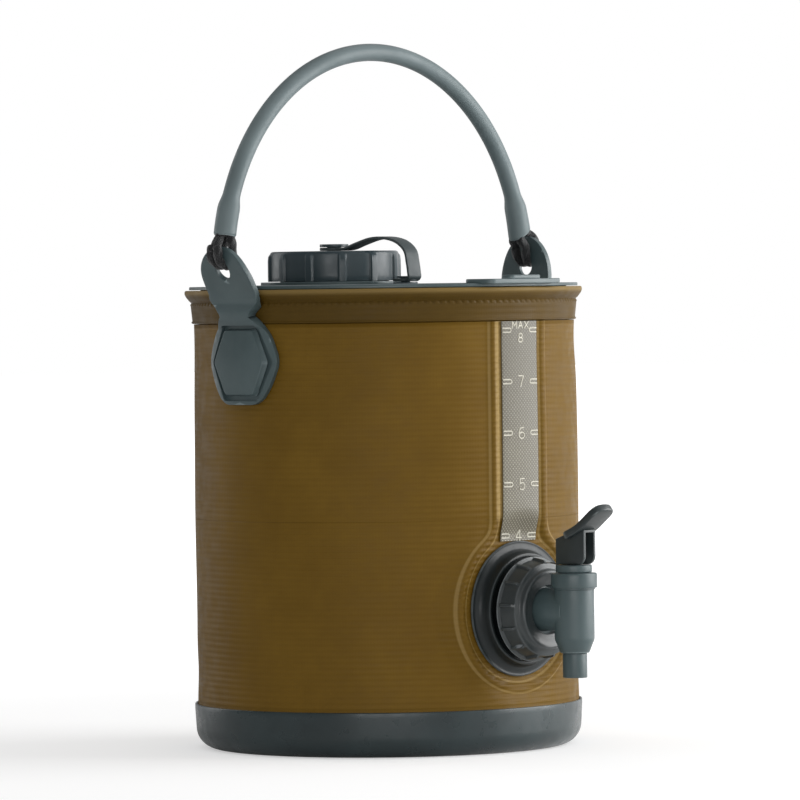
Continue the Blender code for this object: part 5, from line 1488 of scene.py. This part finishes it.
def arm_outline(side):
    foot = [(half, BUTTON_HEIGHT + up) for up, half in FOOT_OUTLINE]
    foot = rounded(foot, FOOT_CORNER, closed=False)
    right = foot + [(NARROW_HALF, NARROW_HEIGHT)]
    for share in even_steps(0, 1, 5)[1:]:
        right.append((blend(NARROW_HALF, EAR_HALF, ease(share)),
                      blend(NARROW_HEIGHT, FLARE_TOP, share)))
    rise = EAR_TOPS[side] - EAR_CENTRE
    for angle in even_steps(0, 90, EAR_STEPS):
        turn = math.radians(angle)
        right.append((EAR_HALF * math.cos(turn), EAR_CENTRE + rise * math.sin(turn)))
    return right + [(-x, y) for x, y in right[-2:0:-1]]


def make_arm(side, word):
    half = ARM_THICKNESS / 2
    flat = plate("arm_" + word, arm_outline(side), -half, half, ARM_BEVEL)
    flare = EAR_HOLE + half + HOLE_CHAMFER
    cutter = turned("ear_hole", [(0, 2 * half), (flare, 2 * half), (EAR_HOLE, half - HOLE_CHAMFER),
                                 (EAR_HOLE, HOLE_CHAMFER - half), (flare, -2 * half),
                                 (0, -2 * half)], SMALL_STEPS,
                    Matrix.Translation((0, PIVOT_HEIGHT, 0)))
    groove = hexagon(-GROOVE_WIDTH, half - GROOVE_DEPTH, BUTTON_HEIGHT)
    groove = plate("groove", [(x, y) for x, y, _ in groove], half - GROOVE_DEPTH, 2 * half)
    flat = combined(flat, [cutter, groove], "DIFFERENCE")
    mesh = bent(flat, side, arm_line(side), ARM_COLUMNS, ARM_ROWS, backed=True)
    dress("arm_" + word, mesh, GREY, "rim", ["handle_arm_" + word])


def hexagon(shrink, level, up=0):
    """A hexagon with rounded corners, pointed to both sides, at a level of a button."""
    point = BUTTON_POINT - shrink
    half = BUTTON_HALF - shrink * BUTTON_SHARE
    flat = BUTTON_FLAT - shrink / 2
    corners = [(point, 0), (flat, half), (-flat, half), (-point, 0), (-flat, -half), (flat, -half)]
    return [(x, y + up, level) for x, y in rounded(corners, BUTTON_CORNER)]


def make_button(side, word):
    """The plain six sided face in an arm's foot, with a groove round it."""
    rim = BUTTON_FACE - BUTTON_EDGE
    levels = [(ARM_INNER + ARM_THICKNESS - GROOVE_DEPTH, -BUTTON_DRAFT), (rim, 0)]
    for angle in even_steps(0, 90, CORNER_STEPS)[1:]:
        turn = math.radians(angle)
        levels.append((rim + BUTTON_EDGE * math.sin(turn), BUTTON_EDGE * (1 - math.cos(turn))))
    rows = [hexagon(shrink, level) for level, shrink in levels][::-1]
    mesh = grid_mesh("button_" + word, rows, ends=(0, len(rows) - 1))
    mesh.transform(side_frame(side, BUTTON_HEIGHT))
    dress("button_" + word, mesh, GREY, "rim", ["arm_button_" + word])


def make_fixing(side, word):
    """The backing plate and the screw on the inside of the bag."""
    low = BUTTON_HEIGHT - PLATE_SIZE / 2
    outline = [(x, y + BUTTON_HEIGHT)
               for x, y in rounded_rectangle(PLATE_SIZE, PLATE_SIZE, PLATE_CORNER)]
    half = PLATE_THICKNESS / 2
    flat = plate("backing_" + word, outline, -half, half, half / 2)
    line = [(PLATE_RADIUS, low - half), (PLATE_RADIUS, low + PLATE_SIZE + half)]
    mesh = bent(flat, side, line, PLATE_COLUMNS, PLATE_ROWS)
    dress("backing_" + word, mesh, GREY, "rim", ["arm_backing_plate_" + word])
    head = PLATE_RADIUS - half - SKIN_GAP
    tip = ARM_INNER + ARM_THICKNESS
    profile = rounded([(0, tip), (SCREW_RADIUS, tip), (SCREW_RADIUS, head), (SCREW_HEAD, head),
                       (SCREW_HEAD, head - SCREW_HEAD_HEIGHT), (0, head - SCREW_HEAD_HEIGHT)],
                      SCREW_CORNER, closed=False)
    mesh = turned("screw_" + word, profile, PIN_STEPS, side_frame(side, BUTTON_HEIGHT))
    dress("screw_" + word, mesh, STEEL, "rim", ["arm_screw_" + word])


def handle_point(angle):
    """A point of the handle's middle line, at an angle of its ellipse in degrees."""
    turn = math.radians(angle)
    return Vector((HANDLE_SHIFT + HANDLE_HALF_SPAN * math.cos(turn), 0,
                   PIVOT_HEIGHT + HANDLE_RISE * math.sin(turn)))


def make_strands(side, word):
    """Two strands of cord from the handle's end, through the ear's hole and back up."""
    line = arm_line(side)
    aside = ARM_THICKNESS / 2 + STRAND_RADIUS + ARM_STANDOFF / 2
    end = handle_point(HANDLE_END if side > 0 else 180 - HANDLE_END)
    mouth = abs(end.x)
    levels = {"low": PIVOT_HEIGHT + EAR_HOLE * LOW_KNOT, "top": EAR_TOPS[side],
              "high": PIVOT_HEIGHT + EAR_HOLE * HIGH_KNOT, "hole": PIVOT_HEIGHT}
    places = {spot: (line_at(line, level)[0], level) for spot, level in levels.items()}
    inside = min(mouth - MOUTH_INSET, places["high"][0] - aside - EAR_INSET)
    places |= {"mouth": (mouth, end.z), "inside": (inside, end.z),
               "over": (places["top"][0], end.z)}
    strands = []
    for hand in (-1, 1):
        knots = [(places[spot][0] + aside * times + out, across * hand, places[spot][1] + up)
                 for spot, times, out, across, up in STRAND_KNOTS]
        points = [(side * out, across, up) for out, across, up in smooth_path(knots, STRAND_STEPS)]
        strands.append(swept("strand", points, lambda share: STRAND_RADIUS, STRAND_SIDES,
                             CORD_LOBES, LOBE_DEPTH, STRAND_TWIST))
    piece = dress("cord_" + word, joined("cord_" + word, strands), CORD, None,
                  ["cord_loop_" + word])
    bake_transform(piece)


def make_handle():
    angles = even_steps(HANDLE_END, 180 - HANDLE_END, HANDLE_ROWS)
    path = [handle_point(angle) for angle in angles]
    lengths = running_lengths(path)
    whole = lengths[-1]

    def outer(share):
        from_end = min(share, 1 - share) * whole
        cuff = 1 - ease((from_end - CUFF_LENGTH) / CUFF_FADE)
        lip = HANDLE_LIP * ease(from_end / HANDLE_LIP_LENGTH - 1)
        return blend(HANDLE_RADIUS, CUFF_RADIUS, cuff) + lip - HANDLE_LIP

    def inner(share):
        from_end = min(share, 1 - share) * whole
        return blend(MOUTH_RADIUS, HANDLE_BORE, ease(from_end / MOUTH_LENGTH))

    first = [path[0].lerp(path[1], share) for share in HANDLE_END_ROWS]
    last = [path[-2].lerp(path[-1], share) for share in HANDLE_END_ROWS]
    fine = [path[0]] + first + path[1:-1] + last + [path[-1]]
    skin = swept("handle", fine, outer, HANDLE_SIDES, ends=False)
    bore = swept("bore", fine, inner, HANDLE_SIDES, ends=False)
    count = len(fine) * HANDLE_SIDES
    builder = bmesh.new()
    builder.from_mesh(skin)
    builder.from_mesh(bore)
    builder.verts.ensure_lookup_table()
    for start in (0, count - HANDLE_SIDES):
        for step in range(HANDLE_SIDES):
            here = start + step
            after = start + (step + 1) % HANDLE_SIDES
            builder.faces.new([builder.verts[index] for index in (here, after, count + after,
                                                                  count + here)])
    for vert in builder.verts:
        near = 1 - ease(max(vert.co.z - path[0].z, 0) / CUFF_LENGTH)
        if vert.co.x > 0:
            vert.co.z += HANDLE_SLANT * near * (vert.co.x - path[0].x) / CUFF_RADIUS
    bmesh.ops.recalc_face_normals(builder, faces=builder.faces)
    mesh = to_mesh("handle", builder, TUBE_SHARP)
    dress("handle_sleeve", mesh, SLEEVE, "handle", ["handle_tube"])
    mesh = swept("cord", path, lambda share: CORD_RADIUS, CORD_SIDES, CORD_LOBES, LOBE_DEPTH,
                 STRAND_TWIST)
    dress("cord_inside", mesh, CORD, "handle", ["handle_cord"])


for hand_side, side_word in ((-1, "left"), (1, "right")):
    make_arm(hand_side, side_word)
    make_button(hand_side, side_word)
    make_fixing(hand_side, side_word)
    make_strands(hand_side, side_word)
make_handle()


# Tap, turned about its own axis: places are lengths out from the bag's axis
SPIGOT_END = -FLANGE_LOW.y
TAIL_END = -FLANGE_HIGH.y
SPIGOT_RADIUS = 0.0202
TAIL_BORE = 0.0090
FLANGE_BACK = TAP_PLANE + 0.0006
LIP_TOP = FLANGE_BACK + 0.0083
LIP_OUTER = 0.0306
LIP_INNER = 0.0288
LIP_CREST = LIP_INNER + 0.0009
FLANGE_EDGE = 0.0005
POCKET_FLOOR = FLANGE_BACK + 0.0028
TAIL_START = FLANGE_BACK - 0.0010
TAP_CORNER = 0.0005
CUT_OVERRUN = 0.0020
NUT_CORNER = 0.0010
NUT_BEVEL = 0.0006
NUT_BORE_START = TAIL_END - 0.0040
NUT_BORE_END = FLANGE_BACK + 0.0054
# Face of the flange: in from its edge, and up from its back
FLANGE_FACE = ((0.0000, 0.0006), (0.0002, 0.0011), (0.0007, 0.0014), (0.0012, 0.0013),
               (0.0020, 0.0013), (0.0040, 0.0018), (0.0052, 0.0026), (0.0060, 0.0041),
               (0.0064, 0.0058), (0.0066, 0.0074), (0.0069, 0.0081))
UNION_BACK = -UNION_HIGH.y
UNION_FRONT = -UNION_LOW.y
UNION_THREAD = 0.0206
UNION_SHOULDER = UNION_BACK + 0.0093
UNION_HOLE = 0.0134
UNION_RIBS = 13
UNION_RIB_TURN = 7
UNION_RIB_HALF = 0.0008
UNION_RIB_PROUD = 0.0014
UNION_RIB_STEPS = 40
UNION_RIB_EDGE = 0.0004
# Where the ribs of the union nut start behind its front, end before its back, and fade
UNION_RIB_START = 0.0040
UNION_RIB_END = 0.0010
UNION_START_FADE = 0.0012
UNION_END_FADE = 0.0008
UNION_SKIN = 0.0010
UNION_CHAMFER = 0.0006
# Outer form of the union nut from its hole to its back rim: radius, and back from its front
UNION_FORM = (
    (0.0134, 0.0022), (0.0137, 0.0017), (0.0143, 0.0015), (0.0165, 0.0013), (0.0182, 0.0008),
    (0.0194, 0.0002), (0.0202, 0.0000), (0.0210, 0.0000), (0.0216, 0.0004), (0.0219, 0.0011),
    (0.0222, 0.0022), (0.0228, 0.0028), (0.0240, 0.0030), (0.0248, 0.0031), (0.0254, 0.0034),
    (0.0257, 0.0041), (0.0258, 0.0050), (0.0262, 0.0072), (0.0266, 0.0094), (0.0270, 0.0116),
    (0.0271, 0.0126), (0.0280, 0.0130), (0.0288, 0.0134), (0.0289, 0.0138), (0.0284, 0.0141),
)
BODY_START = -BODY_HIGH.y
BODY_FLANGE = 0.0194
BODY_FLANGE_END = BODY_START + 0.0027
STUB_RADIUS = 0.0117
STUB_BORE = 0.0078
BARREL_RADIUS = 0.0110
BARREL_BORE = 0.0082
BARREL_END = NOZZLE_HIGH.z - 0.0040
BARREL_FOOT = BARREL_END + 0.0054
BARREL_END_RADIUS = 0.0078
COLLAR_RADIUS = 0.0127
COLLAR_TOP = BODY_HIGH.z
COLLAR_START = COLLAR_TOP - 0.0082
COLLAR_FOOT = BARREL_RADIUS + 0.0005
COLLAR_CORNER = 0.0011
# Outer form of the barrel below its collar: radius and height
BARREL_FORM = (
    (COLLAR_FOOT, COLLAR_START - 0.0007), (BARREL_RADIUS, COLLAR_START - 0.0012),
    (BARREL_RADIUS, BARREL_FOOT + 0.0030), (BARREL_RADIUS - 0.0002, BARREL_FOOT + 0.0014),
    (BARREL_RADIUS - 0.0009, BARREL_FOOT), (BARREL_END_RADIUS + 0.0006, BARREL_END + 0.0010),
    (BARREL_END_RADIUS, BARREL_END), (0, BARREL_END),
)
NOZZLE_SOCKET = 0.0061
NOZZLE_SPIGOT = 0.0058
NOZZLE_BORE = 0.0044
SEAT_HEIGHT = TAP_CENTRE - 0.0150
SEAT_BORE = 0.0050
BONNET_RADIUS = BONNET_HIGH.x
BONNET_START = COLLAR_TOP + FINE_GAP
BONNET_CORNER = 0.0007
PLUG_RADIUS = BARREL_BORE - FINE_GAP
STEM_RADIUS = 0.0020
STEM_FOOT = 0.0064
STEM_FOOT_HEIGHT = 0.0022
STEM_BLOCK = Vector((0.0040, 0.0050, 0.0094))
STEM_SINK = 0.0010
BLOCK_BEVEL = 0.0003
CUP_RADIUS = 0.0074
CUP_CORNER = 0.0006
SPRING_RADIUS = 0.0052
SPRING_WIRE = 0.0006
SPRING_TURNS = 5
SPRING_STEPS = 32
SPRING_SIDES = 10
SPRING_GAP = 0.0009
LEVER_BACK = LEVER_HIGH.y - BARREL_CENTRE
LEVER_FRONT = 0.0124
LEVER_BOTTOM = LEVER_LOW.z
LEVER_HALF = 0.0048
LEVER_CORNER = 0.0050
LEVER_BEVEL = 0.0006
HEEL_TOP = PIN_HEIGHT + 0.0074
KNEE_PLACE = 0.0092
KNEE_HEIGHT = PIN_HEIGHT + 0.0158
TIP_PLACE = BARREL_CENTRE - LEVER_LOW.y
TIP_HEIGHT = LEVER_HIGH.z
LEVER_SLOT = 0.0064
SLOT_BACK = 0.0050
SLOT_ROOF = PIN_HEIGHT + 0.0112
PADDLE_HALF = LEVER_HIGH.x
PADDLE_THICKNESS = 0.0044
PADDLE_CORNER = 0.0066
PADDLE_EDGE = 0.0009
PADDLE_SAG = 0.0002
PADDLE_ROWS = 24
PIN_RADIUS = 0.0012
PIN_LENGTH = 0.0084
PIN_CORNER = 0.0003
# Local XY is out from the barrel and up, and local Z is across
LEVER_FRAME = Matrix(((0, 0, -1, 0), (-1, 0, 0, BARREL_CENTRE), (0, 1, 0, 0), (0, 0, 0, 1)))


def make_flange():
    face = (SPIGOT_RADIUS - CUT_OVERRUN, SPIGOT_END)
    profile = rounded([face, (SPIGOT_RADIUS, SPIGOT_END), (SPIGOT_RADIUS, POCKET_FLOOR),
                       (LIP_INNER, POCKET_FLOOR), (LIP_INNER, LIP_TOP), (LIP_CREST, LIP_TOP)],
                      SOFT_CORNER, closed=False)
    profile += [(LIP_OUTER - FLANGE_EDGE, LIP_TOP)]
    profile += [(FLANGE_RADIUS - inward, FLANGE_BACK + up) for inward, up in FLANGE_FACE[::-1]]
    profile += [(FLANGE_RADIUS - SOFT_CORNER, FLANGE_BACK), (TAIL_RADIUS, FLANGE_BACK)]
    profile += rounded([(TAIL_RADIUS, TAIL_START), (TAIL_RADIUS, TAIL_END),
                        (TAIL_BORE, TAIL_END), (TAIL_BORE, SPIGOT_END), face], TAP_CORNER,
                       closed=False)
    dress("flange", turned("flange", profile, FINE_STEPS, TAP_FRAME), FLANGE_DARK,
          "base", ["tap_flange"])


def make_ring(name, inner, finish, body, node):
    """A flat ring over the frame's box of a node."""
    low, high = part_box(node)
    profile = rounded(corners_of(inner, high.x, -low.y, -high.y), SOFT_CORNER)
    mesh = turned(name, profile, RING_STEPS, TAP_FRAME)
    dress(name, mesh, finish, body, [node])


def make_seals():
    hole = TAIL_RADIUS + SKIN_GAP
    make_ring("gasket", hole, RUBBER, "base", "flange_gasket")
    make_ring("backing_ring", hole, GREY, "base", "tap_backing_ring")
    make_ring("washer", STUB_RADIUS + SKIN_GAP, RUBBER, "tap", "tap_washer")
    low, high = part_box("inlet_nut")
    reach = max(high.x, high.z - TAP_CENTRE)
    corners = [(reach * math.cos(math.radians(turn)), reach * math.sin(math.radians(turn)))
               for turn in range(0, 360, 60)]
    nut = plate("inlet_nut", rounded(corners, NUT_CORNER), -high.y, -low.y, NUT_BEVEL, TAP_FRAME)
    bore = rod("nut_bore", hole, NUT_BORE_START, NUT_BORE_END, TAP_FRAME)
    dress("inner_nut", combined(nut, [bore], "DIFFERENCE"), DARK, "base",
          ["inlet_nut"])


def make_union():
    profile = [(radius, UNION_FRONT - back) for radius, back in UNION_FORM]
    profile += [(UNION_THREAD + UNION_CHAMFER, UNION_BACK),
                (UNION_THREAD, UNION_BACK + UNION_CHAMFER)]
    profile += [(UNION_THREAD, UNION_SHOULDER), (UNION_HOLE, UNION_SHOULDER)]

    def warp(point):
        if point.xy.length < UNION_THREAD + UNION_SKIN:
            return point
        front = ease((UNION_FRONT - UNION_RIB_START - point.z) / UNION_START_FADE)
        back = ease((point.z - UNION_BACK - UNION_RIB_END) / UNION_END_FADE)
        beside = from_rib(point, UNION_RIBS, UNION_RIB_TURN)
        rise = ease((UNION_RIB_HALF - beside) / UNION_RIB_EDGE + 0.5) * front * back
        return point + outward(point) * UNION_RIB_PROUD * rise

    mesh = turned("union", profile, UNION_RIBS * UNION_RIB_STEPS, TAP_FRAME, warp, FORM_SHARP)
    dress("union", mesh, NUT_GREY, "nut", ["union_nut"])


def make_body():
    profile = rounded([(0, COLLAR_TOP), (COLLAR_RADIUS, COLLAR_TOP),
                       (COLLAR_RADIUS, COLLAR_START), (COLLAR_FOOT, COLLAR_START)],
                      COLLAR_CORNER, closed=False)
    profile += BARREL_FORM
    body = turned("tap_shell", profile, 2 * SMALL_STEPS, BARREL_FRAME)
    profile = rounded([(0, -BARREL_CENTRE), (STUB_RADIUS, -BARREL_CENTRE),
                       (STUB_RADIUS, BODY_FLANGE_END), (BODY_FLANGE, BODY_FLANGE_END),
                       (BODY_FLANGE, BODY_START), (0, BODY_START)], TAP_CORNER, closed=False)
    stub = turned("stub", profile, RING_STEPS, TAP_FRAME)
    top = COLLAR_TOP + CUT_OVERRUN
    roof = NOZZLE_HIGH.z + FINE_GAP
    bottom = BARREL_END - CUT_OVERRUN
    profile = [(0, top), (BARREL_BORE, top), (BARREL_BORE, SEAT_HEIGHT), (SEAT_BORE, SEAT_HEIGHT),
               (SEAT_BORE, roof), (NOZZLE_SOCKET, roof), (NOZZLE_SOCKET, bottom), (0, bottom)]
    bore = turned("bore", profile, SMALL_STEPS, BARREL_FRAME)
    inlet = rod("inlet", STUB_BORE, BODY_START - CUT_OVERRUN, -BARREL_CENTRE, TAP_FRAME)
    body = combined(body, [stub], "UNION")
    body = combined(body, [bore, inlet], "DIFFERENCE")
    dress("tap_shell", smooth(body), GREY, "tap", ["tap_body"])
    radius = NOZZLE_HIGH.x
    rim = BARREL_END - FINE_GAP
    corners = [(NOZZLE_SPIGOT, NOZZLE_HIGH.z), (NOZZLE_SPIGOT, rim), (radius, rim),
               (radius, NOZZLE_LOW.z), (NOZZLE_BORE, NOZZLE_LOW.z), (NOZZLE_BORE, NOZZLE_HIGH.z)]
    nozzle = turned("nozzle", rounded(corners, TAP_CORNER), RING_STEPS, BARREL_FRAME)
    dress("nozzle", nozzle, GREY, "tap", ["outlet_nozzle"])
    guide = STEM_RADIUS + SKIN_GAP
    corners = [(BONNET_RADIUS, BONNET_HIGH.z), (BONNET_RADIUS, BONNET_START),
               (PLUG_RADIUS, BONNET_START), (PLUG_RADIUS, BONNET_LOW.z),
               (guide, BONNET_LOW.z), (guide, BONNET_HIGH.z)]
    bonnet = turned("bonnet", rounded(corners, BONNET_CORNER), RING_STEPS, BARREL_FRAME)
    dress("bonnet", bonnet, GREY, "tap", ["tap_bonnet"])


def make_valve():
    low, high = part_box("seat_cup")
    profile = rounded(corners_of(0, CUP_RADIUS, high.z, low.z), CUP_CORNER, closed=False)
    cup = turned("cup", profile, SMALL_STEPS, BARREL_FRAME)
    dress("cup", cup, RUBBER, "stem", ["seat_cup"])
    foot_top = STEM_LOW.z + STEM_FOOT_HEIGHT
    block_low = STEM_HIGH.z - STEM_BLOCK.z
    profile = rounded([(0, block_low + STEM_SINK), (STEM_RADIUS, block_low + STEM_SINK),
                       (STEM_RADIUS, foot_top), (STEM_FOOT, foot_top), (STEM_FOOT, STEM_LOW.z),
                       (0, STEM_LOW.z)], SOFT_CORNER, closed=False)
    stem = turned("stem", profile, 2 * PIN_STEPS, BARREL_FRAME)
    half = STEM_BLOCK / 2
    outline = [(half.y, block_low), (half.y, STEM_HIGH.z), (-half.y, STEM_HIGH.z),
               (-half.y, block_low)]
    block = plate("block", outline, -half.x, half.x, BLOCK_BEVEL, LEVER_FRAME)
    dress("stem", combined(stem, [block], "UNION"), STEEL, "stem", ["valve_stem"])
    start = foot_top + SPRING_GAP
    end = BONNET_LOW.z - SPRING_GAP
    points = []
    for share in even_steps(0, 1, SPRING_TURNS * SPRING_STEPS):
        angle = math.tau * SPRING_TURNS * share
        points.append((SPRING_RADIUS * math.cos(angle),
                       BARREL_CENTRE + SPRING_RADIUS * math.sin(angle), blend(start, end, share)))
    spring = swept("spring", points, lambda share: SPRING_WIRE, SPRING_SIDES)
    piece = dress("spring", spring, STEEL, "tap", ["tap_spring"])
    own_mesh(piece)


def paddle_path():
    """Middle line of the paddle as places out from the barrel and up."""
    half = PADDLE_THICKNESS / 2
    slope = (KNEE_HEIGHT - HEEL_TOP) / (KNEE_PLACE + LEVER_BACK)
    end = TIP_PLACE - half / 2
    return smooth_path([(0, HEEL_TOP + slope * LEVER_BACK - half),
                        (KNEE_PLACE, KNEE_HEIGHT - half),
                        ((KNEE_PLACE + end) / 2,
                         (KNEE_HEIGHT + TIP_HEIGHT) / 2 - half - PADDLE_SAG),
                        (end, TIP_HEIGHT - half)], CURVE_STEPS)


def curled(mesh, path, rows):
    """Bend a flat plate, laid out along X, so that it follows a path in local XY."""
    lengths = running_lengths(path)
    builder = sliced(mesh, [((place, 0, 0), (1, 0, 0))
                            for place in even_steps(0, lengths[-1], rows)[1:-1]])
    for vert in builder.verts:
        reach, across, lift = vert.co
        index = max([step for step, length in enumerate(lengths[:-1]) if length <= reach],
                    default=0)
        start, end = Vector(path[index]), Vector(path[index + 1])
        share = (reach - lengths[index]) / (lengths[index + 1] - lengths[index])
        along = (end - start).normalized()
        place = start.lerp(end, share) + Vector((-along.y, along.x)) * lift
        vert.co = (place.x, place.y, across)
    bmesh.ops.recalc_face_normals(builder, faces=builder.faces)
    return to_mesh(mesh.name, builder, FORM_SHARP)


def make_paddle():
    """The bar that a thumb presses, with a tip rounded off in plan."""
    path = paddle_path()
    length = running_lengths(path)[-1]
    half = PADDLE_THICKNESS / 2
    plan = [(0, PADDLE_HALF, 0), (0, -PADDLE_HALF, 0), (length, -PADDLE_HALF, PADDLE_CORNER),
            (length, PADDLE_HALF, PADDLE_CORNER)]
    flat = plate("paddle", rounded(plan, 0), -half, half, PADDLE_EDGE)
    mesh = curled(flat, path, PADDLE_ROWS)
    mesh.transform(LEVER_FRAME)
    return mesh


def make_lever():
    corner = arc(LEVER_FRONT - LEVER_CORNER, LEVER_BOTTOM + LEVER_CORNER, LEVER_CORNER, -90, 0,
                 ARC_STEPS)
    half = PADDLE_THICKNESS / 2
    outline = [(-LEVER_BACK, LEVER_BOTTOM)] + corner
    outline += [(LEVER_FRONT, KNEE_HEIGHT - 2 * LEVER_CORNER / 3),
                (KNEE_PLACE, KNEE_HEIGHT - half), (-LEVER_BACK, HEEL_TOP)]
    lever = plate("lever", outline, -LEVER_HALF, LEVER_HALF, LEVER_BEVEL, LEVER_FRAME)
    lever = combined(lever, [make_paddle()], "UNION")
    front = LEVER_FRONT + CUT_OVERRUN
    low = LEVER_BOTTOM - CUT_OVERRUN
    slot = [(-SLOT_BACK, low), (front, low), (front, SLOT_ROOF), (-SLOT_BACK, SLOT_ROOF)]
    slot = plate("slot", slot, -LEVER_SLOT / 2, LEVER_SLOT / 2, 0, LEVER_FRAME)
    lever = combined(lever, [slot], "DIFFERENCE")
    dress("lever", smooth(lever), DARK, "lever", ["tap_lever"])
    spot = LEVER_FRAME @ Matrix.Translation((0, PIN_HEIGHT, 0))
    half = PIN_LENGTH / 2
    profile = rounded(corners_of(0, PIN_RADIUS, half, -half), PIN_CORNER, closed=False)
    dress("pin", turned("pin", profile, PIN_STEPS, spot), STEEL, "lever",
          ["lever_pin"])


make_flange()
make_seals()
make_union()
make_body()
make_valve()
make_lever()


# Stage, lamps and camera. The camera looks from the photograph's angle
VIEW_AZIMUTH = -44
VIEW_DISTANCE = 3.475
VIEW_LENS = 276.75
VIEW_AIM = Vector((0, 0, RIM_HEIGHT - 0.0632))
VIEW_ASIDE = 0.0086
VIEW_ROLL = 0.75
EYE_HEIGHT = RIM_HEIGHT
ROOM = 12.0
ROOM_LIGHT = 0.54
ROOM_DIM = 0.10
DIM_AZIMUTH = -70
SHINE_SPAN = (-0.9, 0.35)
FLOOR_NEAR = 0.35
FLOOR_FAR = 1.6
FLOOR_GLOW = 0.44
FLOOR_TONE = (0.66, 0.66, 0.66, 1)
VIEW_SENSOR = 36
# Lamps: azimuth, distance and height, the height each is aimed at, its size and its power
LAMPS = {
    "key": (90, 1.3, 0.45, RIM_HEIGHT / 2, (1.1, 1.1), 20),
    "edge": (-125, 1.3, 0.5, RIM_HEIGHT / 2, (0.5, 1.1), 3),
    "fill": (0, 1.7, 0.12, RIM_HEIGHT / 4, (1.2, 0.6), 8),
}


def around(azimuth, distance, height):
    """A place at an azimuth from the camera's side, in degrees to its right."""
    angle = math.radians(VIEW_AZIMUTH + azimuth)
    return Vector((math.sin(angle) * distance, -math.cos(angle) * distance, height))


def add_lamp(name, azimuth, distance, height, target, size, power):
    data = bpy.data.lights.new(name, "AREA")
    data.shape = "RECTANGLE"
    data.size, data.size_y = size
    data.energy = power
    lamp = placed(name, data)
    lamp.location = around(azimuth, distance, height)
    look = Vector((0, 0, target)) - lamp.location
    lamp.rotation_euler = look.to_track_quat("-Z", "Y").to_euler()


def glow(tree, direction, plain):
    """How bright a part of the studio is. The camera and clear things see it white. Shiny
    faces see white to the camera's right and dim to its left, and all else its plain glow."""
    towards = tree.vectors("DOT_PRODUCT", direction, around(DIM_AZIMUTH, 1, 0))["Value"]
    path = tree.nodes.new("ShaderNodeLightPath").outputs
    shiny = tree.ramp(path["Is Glossy Ray"], 0, 1, plain,
                      tree.ramp(towards, *SHINE_SPAN, 1, ROOM_DIM))
    looks = tree.sums("MAXIMUM", path["Is Camera Ray"], path["Is Transmission Ray"])
    return tree.ramp(looks, 0, 1, shiny, 1)


def make_floor():
    """A pale floor, white where it is looked at far off, so that its far edge can't be seen."""
    builder = bmesh.new()
    bmesh.ops.create_grid(builder, x_segments=1, y_segments=1, size=ROOM)
    mesh = to_mesh("floor", builder)
    material = bpy.data.materials.new("floor")
    tree = Tree(material)
    shader = tree.nodes["Principled BSDF"]
    shader.inputs["Base Color"].default_value = FLOOR_TONE
    shader.inputs["Roughness"].default_value = 1
    shader.inputs["Specular IOR Level"].default_value = 0
    shader.inputs["Emission Color"].default_value = (1, 1, 1, 1)
    place = tree.nodes.new("ShaderNodeTexCoord").outputs["Object"]
    away = tree.vectors("LENGTH", place)["Value"]
    white = tree.ramp(away, FLOOR_NEAR, FLOOR_FAR, FLOOR_GLOW, 1)
    strength = glow(tree, tree.vectors("NORMALIZE", place)["Vector"], 0)
    tree.feed(shader.inputs["Emission Strength"], tree.sums("MULTIPLY", strength, white))
    mesh.materials.append(material)
    floor = placed("floor", mesh)
    floor.location.z = -TINY


def make_world():
    """A white studio wall to look at. Shiny faces see it on one side of the room."""
    world = bpy.data.worlds.new("studio")
    bpy.context.scene.world = world
    tree = Tree(world)
    background = tree.nodes["Background"]
    background.inputs["Color"].default_value = (1, 1, 1, 1)
    place = tree.nodes.new("ShaderNodeTexCoord").outputs["Generated"]
    tree.feed(background.inputs["Strength"], glow(tree, place, ROOM_LIGHT))


def make_camera():
    data = bpy.data.cameras.new("camera")
    data.lens = VIEW_LENS
    data.sensor_width = VIEW_SENSOR
    camera = placed("camera", data)
    aside = around(90, VIEW_ASIDE, 0)
    place = around(0, VIEW_DISTANCE, EYE_HEIGHT) + aside
    look = VIEW_AIM + aside - place
    turn = look.to_track_quat("-Z", "Y").to_matrix().to_4x4()
    roll = Matrix.Rotation(math.radians(-VIEW_ROLL), 4, "Z")
    camera.matrix_world = Matrix.Translation(place) @ turn @ roll
    bpy.context.scene.camera = camera


make_floor()
make_world()
for lamp_name, settings in LAMPS.items():
    add_lamp(lamp_name, *settings)
make_camera()
bpy.context.scene.view_settings.view_transform = "Standard"
